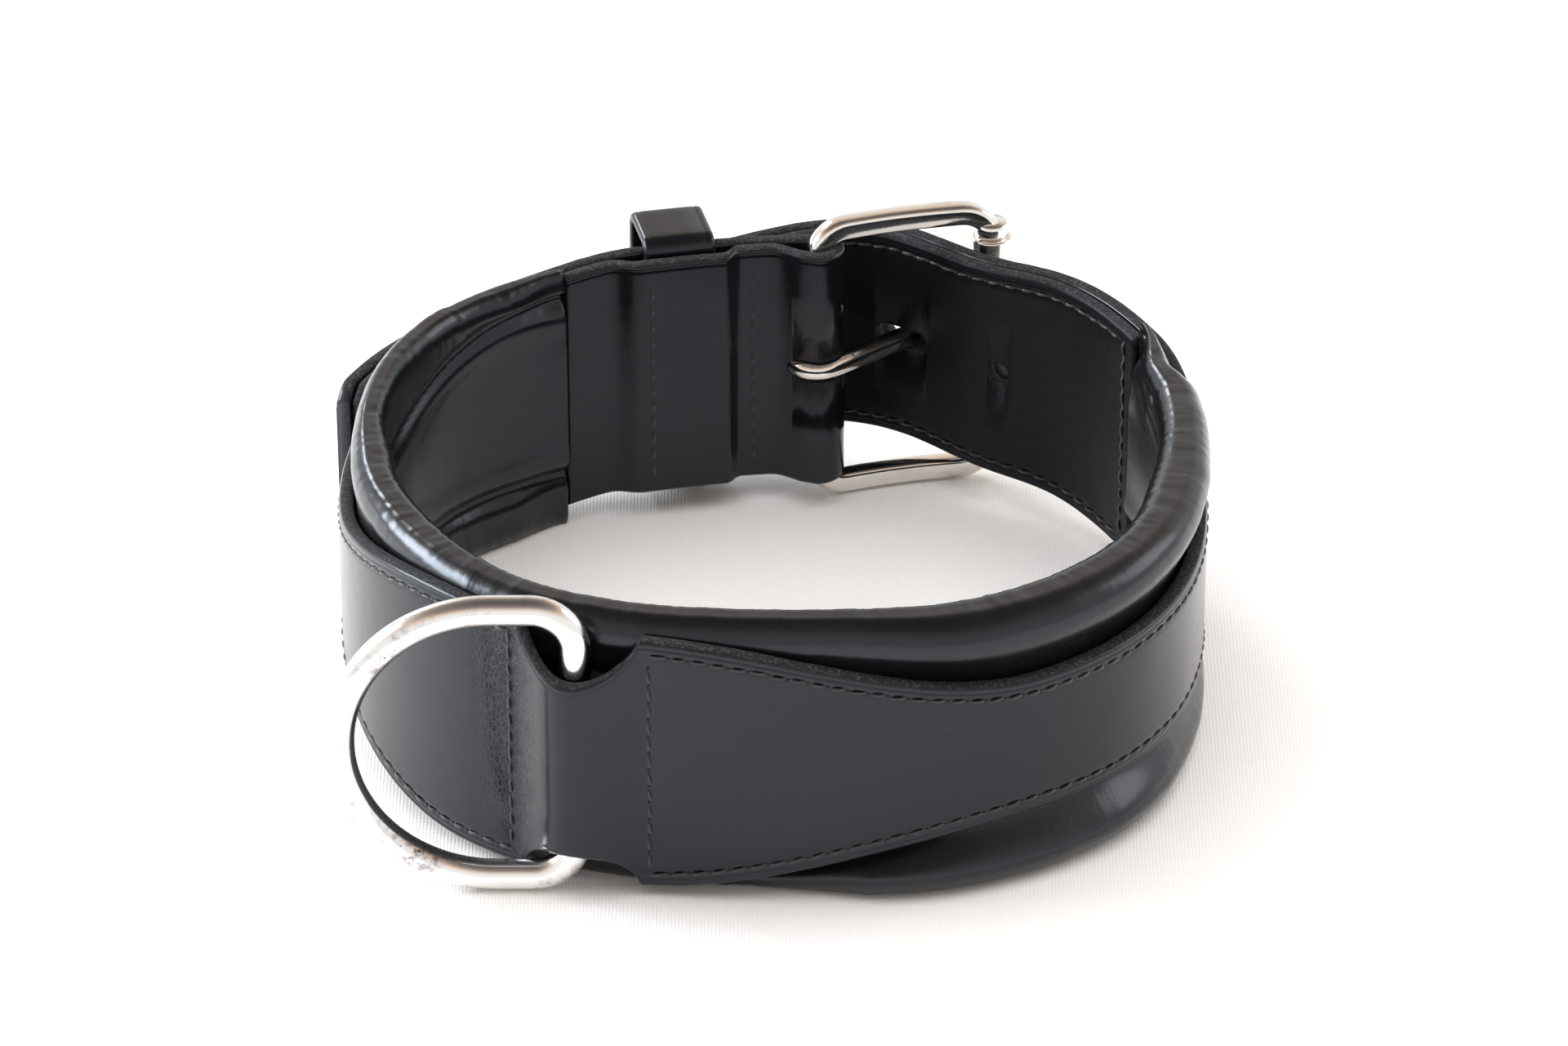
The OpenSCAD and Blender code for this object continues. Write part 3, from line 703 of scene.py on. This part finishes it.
def swell(rings, pinned):
    """Lets the leather skin of the pad settle under pressure, and returns how far each point moved, in mm."""
    rows, cols = rings.shape[:2]
    obj = mesh_object("swelling", rings.reshape(-1, 3), grid_faces(rows, cols, closed=False), [LINING])
    group = obj.vertex_groups.new(name="pin")
    for i, w in enumerate(np.broadcast_to(pinned, (rows, cols)).ravel()):
        if w > 0.01:
            group.add([i], float(w), "REPLACE")
    m = obj.modifiers.new("cloth", "CLOTH")
    c = m.settings
    c.quality, c.mass, c.tension_stiffness, c.compression_stiffness, c.bending_stiffness = 6, 0.4, 40, 40, 25.0
    c.use_pressure, c.uniform_pressure_force = True, PRESSURE
    c.vertex_group_mass = "pin"
    c.effector_weights.gravity = 0
    m.collision_settings.use_collision = False
    scene = bpy.context.scene
    scene.frame_start, scene.frame_end = 1, FRAMES
    for f in range(1, FRAMES + 1):
        scene.frame_set(f)
    dg = bpy.context.evaluated_depsgraph_get()
    after = np.array([v.co for v in obj.evaluated_get(dg).data.vertices]).reshape(rows, cols, 3) / MM
    moved = after - rings
    far = np.linalg.norm(moved, axis=-1, keepdims=True)
    moved *= np.minimum(1, MOST / np.maximum(far, 1e-6))
    for _ in range(3):
        # the leather is too stiff to follow the cloth's finest folds
        wide = np.pad(moved, ((1, 1), (1, 1), (0, 0)), mode="edge")
        moved = (wide[:-2, 1:-1] + wide[2:, 1:-1] + wide[1:-1, :-2] + wide[1:-1, 2:] + 2 * moved) / 6
    bpy.data.objects.remove(obj)
    scene.frame_set(1)
    return moved


def resample(field, rows, cols):
    """A coarse field of vectors over a finer grid."""
    for n in (rows, cols):
        at = np.linspace(0, len(field) - 1, n)
        i = np.minimum(at.astype(int), len(field) - 2)
        x = (at - i)[:, None, None]
        field = (field[i] * (1 - x) + field[i + 1] * x).swapaxes(0, 1)
    return field


def grid_normals(rings):
    ds = np.gradient(rings, axis=0)
    dc = np.gradient(rings, axis=1)
    n = np.cross(dc, ds)
    return n / np.maximum(np.linalg.norm(n, axis=-1, keepdims=True), 1e-9)


def build_lining():
    s = np.arange(BODY_START, BODY_END + 0.01, 0.75)
    contour = body_contour(s)
    rows, cols = contour.shape[:2]
    outer = place(s[:, None], contour[..., 0], contour[..., 1] + H)
    coarse = outer[::4, ::3]
    z = contour[::4, ::3, 1]
    behind = contour[::4, ::3, 0] > BEHIND
    flap = (np.abs(z) < (np.minimum(half(s[::4]) + 0.9, H - 6))[:, None]) & behind
    seam = np.abs(np.abs(z) - (half(s[::4]) - INSET)[:, None]) < 1.4
    ends = (np.arange(len(coarse)) < 1) | (np.arange(len(coarse)) > len(coarse) - 2)
    floor = coarse[..., 2] < 1.0
    pin = np.where(flap | ends[:, None] | floor, 1.0, np.where(seam, 0.9, 0.0))
    outer = outer + resample(swell(coarse, pin), rows, cols)
    outer[..., 2] = np.maximum(outer[..., 2], 0.0)
    n = grid_normals(outer)
    reach = np.concatenate([[0], np.cumsum(np.linalg.norm(np.diff(contour[len(s) // 2], axis=0), axis=1))])
    pts = grid_of(s[:, None], reach, 0)
    # wrinkles across the rolls where the leather is squeezed on the inside of the bend
    height = np.abs(contour[..., 1])
    crest = np.clip((height - 16) / 8, 0, 1)
    inside = np.clip((0.5 - contour[..., 0]) / 5, 0, 1)
    fine = fractal(pts * (1, 0.16, 1), 1.7, 2.0, 3)
    broad = fractal(pts * (1, 0.35, 1), 7.0, 11.0, 2)
    hidden = (contour[..., 0] > BEHIND) & (height < (half(s) + 0.3)[:, None])
    bump = (0.12 * fine * crest * (0.35 + 0.65 * inside) + 0.1 * broad * (0.3 + 0.7 * crest)) * ~hidden
    outer = outer + n * bump[..., None]
    outer[..., 2] = np.clip(outer[..., 2], 0.0, None)
    # the inner face of the leather, which the felt fills
    inner_n = n[:, ::3]
    inner = outer[:, ::3] - LINING_T * inner_n
    rings = np.concatenate([outer, inner[:, ::-1]], 1)
    flow = grid_of(s[:, None], np.concatenate([reach, reach[::3][::-1]]), NO_EDGE) * MM
    return skin("padded_skin", rings, [LINING, EDGE], flow)


def build_felt():
    s = np.arange(BODY_START + 2, BODY_END - 2, 2.0)
    low = body_section(s, -1, 6, 12, 10)
    top = body_section(s, 1, 6, 12, 10) * np.array([1, -1])
    contour = np.concatenate([low, top[:, -2::-1]], 1)
    ring = place(s[:, None], contour[..., 0], contour[..., 1] + H)
    n = grid_normals(ring)
    inner = ring - (LINING_T + 0.6) * n
    fuzz = 0.12 * fractal(inner, 2.5, 4.0, 2)
    return skin("felt_filling", inner - n * np.abs(fuzz)[..., None], [FELT])


# ------------------------ keeper
KEEPER_GAP = 0.4


def build_keeper():
    t, reach, tuck, r, w = 2.1, 11.3, 8.0, 1.0, 14.0
    h = 25.6
    back = -KEEPER_GAP - t / 2
    front = reach + t / 2
    line = [(back, -h - t / 2 + tuck + t / 2)]
    corner = r + t / 2
    for cx, cz, a0 in ((back + corner, -h - t / 2 + corner, 180), (front - corner, -h - t / 2 + corner, 270),
                       (front - corner, h + t / 2 - corner, 0), (back + corner, h + t / 2 - corner, 90)):
        line += [(cx + corner * math.cos(math.radians(a0 + k)), cz + corner * math.sin(math.radians(a0 + k)))
                 for k in range(0, 91, 9)]
    line.append((back, h + t / 2 - tuck - t / 2))
    line = np.array(line)
    dense = []
    for a, b in zip(line[:-1], line[1:]):
        n = max(1, int(np.linalg.norm(b - a) / 1.5))
        dense += [a + (b - a) * k / n for k in range(n)]
    line = np.array(dense + [line[-1]])
    ahead = np.gradient(line, axis=0)
    ahead /= np.linalg.norm(ahead, axis=1)[:, None]
    normal = np.stack([ahead[:, 1], -ahead[:, 0]], -1)
    dist = np.concatenate([[0], np.cumsum(np.linalg.norm(np.diff(line, axis=0), axis=1))])
    # (distance from the edge, height over the middle in half thicknesses), from one edge over the grain side
    grain = [(0.03, 0.0), (0.25, 0.62), (0.7, 0.9), (1.4, 0.97), (1.65, 0.88), (1.9, 1.0), (5, 1.02)]
    section = [(d - w / 2, up) for d, up in grain] + [(w / 2 - d, up) for d, up in reversed(grain)]
    section += [(w / 2 - 0.3, -0.75), (w / 2 - 1, -1), (0, -1), (1 - w / 2, -1), (0.3 - w / 2, -0.75)]
    section = np.array(section) * (1, t / 2)
    o, a = outward(KEEPER_S), along(KEEPER_S)
    base = place(KEEPER_S, 0, middle(KEEPER_S))
    uz = line[:, None] + section[None, :, 1:] * normal[:, None]
    rings = (base + uz[..., :1] * np.append(o, 0) + uz[..., 1:] * np.array([0, 0, 1.0])
             + section[None, :, :1] * np.append(a, 0))
    flow = grid_of(dist[:, None], section[:, 0], w / 2 - np.abs(section[:, 0])) * MM
    return skin("keeper", rings, [BRIDLE, EDGE], flow)


# ------------------------ hardware
ROLLER = np.array(JOINTS["roller_spin"]["pos_m"]) / MM
REACH = np.linalg.norm((ROLLER - HEEL)[:2])
BX = np.append((ROLLER - HEEL)[:2] / REACH, 0)
BY = np.array([-BX[1], BX[0], 0])
BZ = np.array([0, 0, 1.0])


def at_buckle(points):
    p = np.asarray(points, float)
    return HEEL + p[:, :1] * BX + p[:, 1:2] * BY + p[:, 2:3] * BZ


FRAME_H, BOW = 59.6, 1.5
LATHE_SIDES = 48
ROLLER_R, BORE = 3.9, WIRE / 2 + 0.07
BOW_R = (REACH / 2) ** 2 / (2 * BOW) + BOW / 2


def bowed(x):
    return BOW - BOW_R + np.sqrt(BOW_R ** 2 - (x - REACH / 2) ** 2)


def arc(cx, cz, r, a0, a1, n):
    a = np.radians(np.linspace(a0, a1, n))
    return np.stack([cx + r * np.cos(a), cz + r * np.sin(a)], -1)


def build_frame():
    hh, r = (FRAME_H - WIRE) / 2, 8 - WIRE / 2
    flat = np.concatenate([
        arc(r, -hh + r, r, 180, 270, 9), np.stack([np.linspace(r, REACH - r, 18)[1:-1], np.full(16, -hh)], -1),
        arc(REACH - r, -hh + r, r, 270, 360, 9),
        np.stack([np.full(20, REACH), np.linspace(-hh + r, hh - r, 22)[1:-1]], -1),
        arc(REACH - r, hh - r, r, 0, 90, 9), np.stack([np.linspace(REACH - r, r, 18)[1:-1], np.full(16, hh)], -1),
        arc(r, hh - r, r, 90, 180, 9), np.stack([np.zeros(20), np.linspace(hh - r, -hh + r, 22)[1:-1]], -1)])
    path = np.stack([flat[:, 0], bowed(flat[:, 0]), flat[:, 1]], -1)
    # round bars, and rails with flattened faces
    square = np.clip((np.abs(flat[:, 1]) - hh + r) / r, 0, 1)
    sections = np.array([superellipse(WIRE / 2, WIRE / 2, 2 + 1.9 * q) for q in square])
    parts = [sweep("frame_loop", at_buckle(path), sections, [STEEL], up=BY, closed=True)]
    inner = FRAME_H - 2 * WIRE
    for side in (-1, 1):
        z = side * (inner / 2 - 1.4)
        profile = [(0.0, -1.5), (2.9, -1.5), (3.2, -1.2), (3.2, 1.2), (2.9, 1.5), (0.0, 1.5)]
        parts.append(lathe("collar", profile, at_buckle([(REACH, 0, z)])[0], [STEEL]))
    return join(parts, "frame_cast")


def lathe(name, profile, centre, mats):
    """Turns (radius, height) points about the upright line through centre."""
    a = np.arange(LATHE_SIDES) * 2 * np.pi / LATHE_SIDES
    rings = np.array([[(centre[0] + max(r, 0.01) * math.cos(t), centre[1] + max(r, 0.01) * math.sin(t), centre[2] + z)
                       for t in a] for r, z in profile])
    return skin(name, rings, mats)


def build_roller():
    r, h = ROLLER_R, 22.5
    profile = [(BORE, -h), (BORE + 0.15, -h), (r - 0.35, -h), (r - 0.1, -h + 0.1), (r, -h + 0.35)]
    profile += [(r, z) for z in np.linspace(-h + 2, h - 2, 12)]
    profile += [(r, h - 0.35), (r - 0.1, h - 0.1), (r - 0.35, h), (BORE + 0.15, h), (BORE, h)]
    profile += [(BORE, z) for z in np.linspace(h - 3, -h + 3, 6)]
    n = 64
    a = np.arange(n) * 2 * np.pi / n
    # the seam where the sheet metal closes
    seam = 0.16 * np.exp(-((np.arange(n) - n * 0.62) / 0.9) ** 2)
    rings = np.array([[(ROLLER[0] + (q - (seam[i] if q > 3.5 else 0)) * math.cos(t),
                        ROLLER[1] + (q - (seam[i] if q > 3.5 else 0)) * math.sin(t), ROLLER[2] + z)
                       for i, t in enumerate(a)] for q, z in profile])
    rows = len(rings)
    faces = [[i % (rows * n) for i in f] for f in grid_faces(rows + 1, n)]
    obj = mesh_object("roller_tube", rings.reshape(-1, 3), faces, [STEEL])
    finish_normals(obj)
    return obj


def build_prong():
    r, turn, bend_r = 2.0, math.radians(26), 14.0
    eye, eye_points = BORE + r, 54
    rest = ROLLER_R + r + 0.1
    length = (rest + eye * math.cos(turn) - bend_r * (1 - math.cos(turn))) / math.sin(turn)
    bend_x = eye * math.sin(turn) + length * math.cos(turn) + bend_r * math.sin(turn)
    start = math.degrees(math.atan2(-math.cos(turn), math.sin(turn)))
    path = [tuple(q) for q in arc(0, 0, eye, start - 318, start, eye_points)]
    first = np.array([eye * math.sin(turn), -eye * math.cos(turn)])
    ahead = np.array([math.cos(turn), math.sin(turn)])
    path += [tuple(first + ahead * length * k / 14) for k in range(1, 14)]
    path += [(bend_x - bend_r * math.sin(a), rest - bend_r * (1 - math.cos(a))) for a in np.linspace(turn, 0, 8)]
    end = REACH + 4.5
    path += [(x, rest) for x in np.linspace(bend_x, end, 5)[1:]]
    tip = np.radians([25, 45, 62, 76, 86])
    path += [(end + r * math.sin(a), rest) for a in tip]
    path = np.array(path)
    world = at_buckle(np.stack([path[:, 0], path[:, 1], 0 * path[:, 0]], -1))
    scale = np.ones(len(path))
    scale[-len(tip):] = np.cos(tip)
    flat = np.clip((np.arange(len(path)) - eye_points) / 6, 0, 1)
    sections = np.array([superellipse(r, r, 2 + 0.7 * q) for q in flat])
    scale[0], scale[1] = 0.72, 0.94
    return sweep("prong_wire", world, sections, [STEEL], up=BZ, scale=scale)


def build_ring():
    deep, half_h, corner, n_bar = 41.9, (60 - RING_WIRE) / 2, 8.0, 17
    flat = half_h - corner
    outline = np.concatenate([
        np.stack([np.zeros(n_bar), np.linspace(flat, -flat, n_bar + 2)[1:-1]], -1),
        arc(corner, -flat, corner, 180, 270, 12),
        np.stack([np.linspace(corner, deep - half_h, 7)[1:-1], np.full(5, -half_h)], -1),
        arc(deep - half_h, 0, half_h, -90, 90, 64),
        np.stack([np.linspace(deep - half_h, corner, 7)[1:-1], np.full(5, half_h)], -1),
        arc(corner, flat, corner, 90, 180, 12)])
    z0 = JOINTS["ring_swing"]["pos_m"][2] / MM
    path = np.stack([RING_AT[0] - outline[:, 0], np.full(len(outline), RING_AT[1]), z0 + outline[:, 1]], -1)
    lump = np.ones(len(path))
    # the weld in the middle of the bar
    lump[:n_bar] += 0.05 * np.exp(-((np.arange(n_bar) - n_bar // 2) / 1.2) ** 2)
    return sweep("leash_d_ring", path, superellipse(RING_WIRE / 2, RING_WIRE / 2, 2, 32), [RING_STEEL],
                 up=(0, 1, 0), closed=True, scale=lump)


# ------------------------ stitches
PITCH, STITCH_WIDE, STITCH_HIGH, STITCH_LEAN = 3.45, 0.58, 0.42, 0.11


def capsule(length, width, lean):
    """One stitch lying along x, sunk at both ends."""
    xs = np.array([-0.5, -0.42, -0.22, 0, 0.22, 0.42, 0.5]) * length
    arch = np.array([-0.75, -0.1, 0.42, 0.55, 0.42, -0.1, -0.75]) * STITCH_HIGH
    fat = np.array([0.35, 0.8, 1.0, 1.0, 1.0, 0.8, 0.35])
    a = np.arange(8) * np.pi / 4
    rings = np.stack([np.stack([np.full(8, x), w * width / 2 * np.cos(a) + lean * x,
                                h + w * STITCH_HIGH / 2 * np.sin(a)], -1) for x, h, w in zip(xs, arch, fat)])
    return rings.reshape(-1, 3), grid_faces(7, 8) + [list(range(8)), [48 + j for j in reversed(range(8))]]


def needle_hole_shade(at):
    """Painted shade for the mouth of one needle hole: a near-black low dome lying at x = at."""
    a = np.arange(8) * np.pi / 4
    rings = [np.stack([at + r * 0.6 * np.cos(a), r * 0.36 * np.sin(a), np.full(8, h)], -1)
             for r, h in ((1.0, -0.1), (0.85, 0.05), (0.3, 0.06))]
    return np.concatenate(rings), grid_faces(3, 8) + [list(range(8)), [16 + j for j in reversed(range(8))]]


def stitch_row(name, nodes, sides):
    """sides is a list of (points, along directions, face normals) for the faces that the row shows on."""
    verts, faces, slots, start = [], [], [], 0
    for points, tangents, normals in sides:
        for p, t, n in zip(points, tangents, normals):
            length = PITCH * 0.86 * (1 + 0.07 * rng.randn())
            width = STITCH_WIDE * (1 + 0.05 * rng.randn())
            stitch = capsule(length, width, STITCH_LEAN + 0.05 * rng.randn())
            side = np.cross(n, t)
            drift = 0.05 * rng.randn()
            # each stitch comes with a near-black dome of painted shade for its needle hole
            for k, (points_, faces_) in enumerate((stitch, needle_hole_shade(PITCH / 2))):
                verts.append(p + points_[:, :1] * t + (points_[:, 1:2] + drift) * side + (points_[:, 2:] - 0.02) * n)
                faces += [[start + i for i in g] for g in faces_]
                slots += [k] * len(faces_)
                start += len(points_)
    obj = mesh_object(name, np.concatenate(verts), faces, [THREAD, NEEDLE_HOLE_SHADE])
    obj.data.polygons.foreach_set("material_index", slots)
    finish_normals(obj)
    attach(obj, "collar")
    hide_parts(*nodes)


def level_side(s0, s1, face, height, sign=1):
    """Places for stitches along the strap, on the face at u = face(s)."""
    s = np.arange(s0 + PITCH / 2, s1 - PITCH / 4, PITCH)
    p = place(s, face(s), height(s))
    ahead = place(s + 0.4, face(s + 0.4), height(s + 0.4)) - place(s - 0.4, face(s - 0.4), height(s - 0.4))
    ahead /= np.linalg.norm(ahead, axis=1)[:, None]
    n = np.concatenate([outward(s) * sign, np.zeros((len(s), 1))], 1)
    return p, ahead, n


def upright_side(s, face, sign=1):
    """Places for stitches across the strap at s, on the face at u = face."""
    h = float(half(s)) - (INSET + 1)
    z = np.arange(-h + PITCH / 2, h, PITCH) + float(middle(s))
    p = place(np.full(len(z), s), face, z)
    n = np.append(outward(s) * sign, 0.0)
    return p, np.tile([0, 0, 1.0], (len(z), 1)), np.tile(n, (len(z), 1))


def upper(s):
    return middle(s) + half(s) - INSET


def lower(s):
    return middle(s) - half(s) + INSET


def grain_face(s):
    return STRAP_T + lift(s) - GROOVE * 0.6


def liner_face(s):
    return np.full(np.shape(s), -LINER_T - LINER_GAP + GROOVE * 0.6)


def chape_face(s):
    return turnback(s) - STRAP_T + 0.08


def build_stitches():
    stitch_row("stitches_front_upper", ["front_upper_thread"], [level_side(FRONT_ROW, BODY_END, grain_face, upper)])
    stitch_row("stitches_front_lower", ["front_lower_thread"], [level_side(FRONT_ROW, BODY_END, grain_face, lower)])
    stitch_row("stitches_ring_front", ["ring_front_thread"], [upright_side(FRONT_ROW, STRAP_T - 0.1)])
    stitch_row("stitches_ring_rear", ["ring_rear_thread"], [upright_side(REAR_ROW, STRAP_T - 0.1)])
    stitch_row("stitches_side_upper", ["side_upper_thread"], [level_side(SIDE_FROM, REAR_ROW, grain_face, upper)])
    stitch_row("stitches_side_lower", ["side_lower_thread"], [level_side(SIDE_FROM, REAR_ROW, grain_face, lower)])
    for name, s in zip(("keeper_front", "keeper_rear"), KEEPER_ROWS):
        stitch_row("stitches_" + name, [name + "_thread"],
                   [upright_side(s, float(chape_face(s)), -1), upright_side(s, STRAP_T - 0.1)])
    for name, z in (("upper", upper), ("lower", lower)):
        stitch_row("stitches_billet_" + name, ["billet_" + name + "_thread"],
                   [level_side(BILLET_FROM, TIP_ROW, grain_face, z),
                    level_side(BILLET_FROM, TIP_ROW, liner_face, z, -1)])
    stitch_row("stitches_billet_tip", ["billet_tip_thread"],
               [upright_side(TIP_ROW, STRAP_T - 0.1), upright_side(TIP_ROW, -LINER_T - LINER_GAP, -1)])
    stitch_row("stitches_pad_end", ["pad_end_thread"],
               [upright_side(PAD_ROW, STRAP_T - 0.1), upright_side(PAD_ROW, -LINER_T - LINER_GAP, -1)])


# ------------------------ pieces on their bodies
def add(obj, body, slot, *nodes):
    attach(obj, body)
    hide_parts(*nodes)
    return obj


add(build_strap(), "collar", "bridle_leather", "main_strap")
add(build_liner(), "collar", "bridle_leather", "billet_liner")
lining = add(build_lining(), "collar", "lining_leather", "padded_lining")
felt = add(build_felt(), "collar", "felt", "padding_felt")
add(build_keeper(), "collar", "bridle_leather", "keeper_loop")
add(build_frame(), "frame", "steel", "buckle_frame")
add(build_roller(), "roller", "steel", "buckle_roller")
add(build_prong(), "prong", "steel", "buckle_prong")
add(build_ring(), "ring", "steel", "d_ring")
build_stitches()


# ------------------------ floor, light and camera
def canvas():
    """White woven cloth."""
    n = Nodes("white_canvas")
    at = n.add("ShaderNodeTexCoord").outputs["Object"]
    weave = [n.add("ShaderNodeTexWave", {"Vector": at, "Scale": 480.0, "Distortion": 0.6, "Detail": 1.0},
                   bands_direction=d).outputs["Fac"] for d in ("X", "Y")]
    cloth = n.maths("MAXIMUM", *weave)
    cloth = n.maths("ADD", cloth, n.maths("MULTIPLY", n.noise(at, 350.0), 0.6))
    n.set(Base_Color=(0.9, 0.895, 0.89, 1), Roughness=0.9, Normal=n.bump(cloth, 0.25, 0.0003))
    return n.mat


floor = mesh_object("floor", np.array([(-3000, -3000, 0), (3000, -3000, 0), (3000, 3000, 0), (-3000, 3000, 0)]),
                    [(0, 1, 2, 3)], [canvas()], smooth=False)

middle_of = (cad_box[0] + cad_box[1]) / 2


def area_light(name, where, size, power, colour=(1, 1, 1)):
    data = bpy.data.lights.new(name, "AREA")
    data.shape, data.size, data.size_y, data.energy, data.color = "RECTANGLE", size[0], size[1], power, colour
    obj = bpy.data.objects.new(name, data)
    bpy.context.scene.collection.objects.link(obj)
    obj.location = where
    obj.rotation_euler = (Vector((0, 0, 0.03)) - Vector(where)).to_track_quat("-Z", "Y").to_euler()
    return obj


area_light("window_left", (-1.4, 0.25, 0.6), (0.9, 0.55), 31, (0.9, 0.95, 1.0))
area_light("window_back", (-0.9, 1.5, 0.95), (0.5, 0.3), 9, (0.88, 0.94, 1.0))
area_light("fill_right", (1.5, 0.4, 0.8), (0.9, 0.7), 5)
overhead = area_light("overhead", (0.0, 0.1, 2.0), (3.2, 3.2), 62)
overhead.visible_glossy = False

world = bpy.data.worlds.new("studio")
bpy.context.scene.world = world
world.use_nodes = True
tree = world.node_tree
back = tree.nodes["Background"]
coord = tree.nodes.new("ShaderNodeTexCoord")
sep = tree.nodes.new("ShaderNodeSeparateXYZ")
tree.links.new(coord.outputs["Generated"], sep.inputs[0])
sky = tree.nodes.new("ShaderNodeValToRGB")
# Brightness of the surroundings against the sine of the height: pale low down, warm and dark above.
SKY = [(0.32, (1.0, 1.0, 1.0)), (0.58, (0.85, 0.69, 0.56)), (0.8, (0.3, 0.25, 0.22)), (1.0, (0.12, 0.11, 0.11))]
while len(sky.color_ramp.elements) < len(SKY):
    sky.color_ramp.elements.new(0.5)
for stop, (height, colour) in zip(sky.color_ramp.elements, SKY):
    stop.position, stop.color = height, (*colour, 1)
tree.links.new(sep.outputs["Z"], sky.inputs["Fac"])
tree.links.new(sky.outputs["Color"], back.inputs["Color"])
back.inputs["Strength"].default_value = 0.95

bpy.context.scene.view_settings.view_transform = "Standard"

# The camera looks down at 30 degrees from the front.
CAMERA_FAR, CAMERA_UP, LENS = 1.4, math.radians(30), 172.8
aim = Vector((middle_of.x + 0.00276, middle_of.y + 0.00643, 0.027))
camera = bpy.data.objects.new("camera", bpy.data.cameras.new("camera"))
bpy.context.scene.collection.objects.link(camera)
camera.location = aim + CAMERA_FAR * Vector((0, -math.cos(CAMERA_UP), math.sin(CAMERA_UP)))
camera.rotation_euler = (math.pi / 2 - CAMERA_UP, 0, 0)
camera.data.lens, camera.data.sensor_width = LENS, 36
camera.data.clip_end = 20
bpy.context.scene.camera = camera
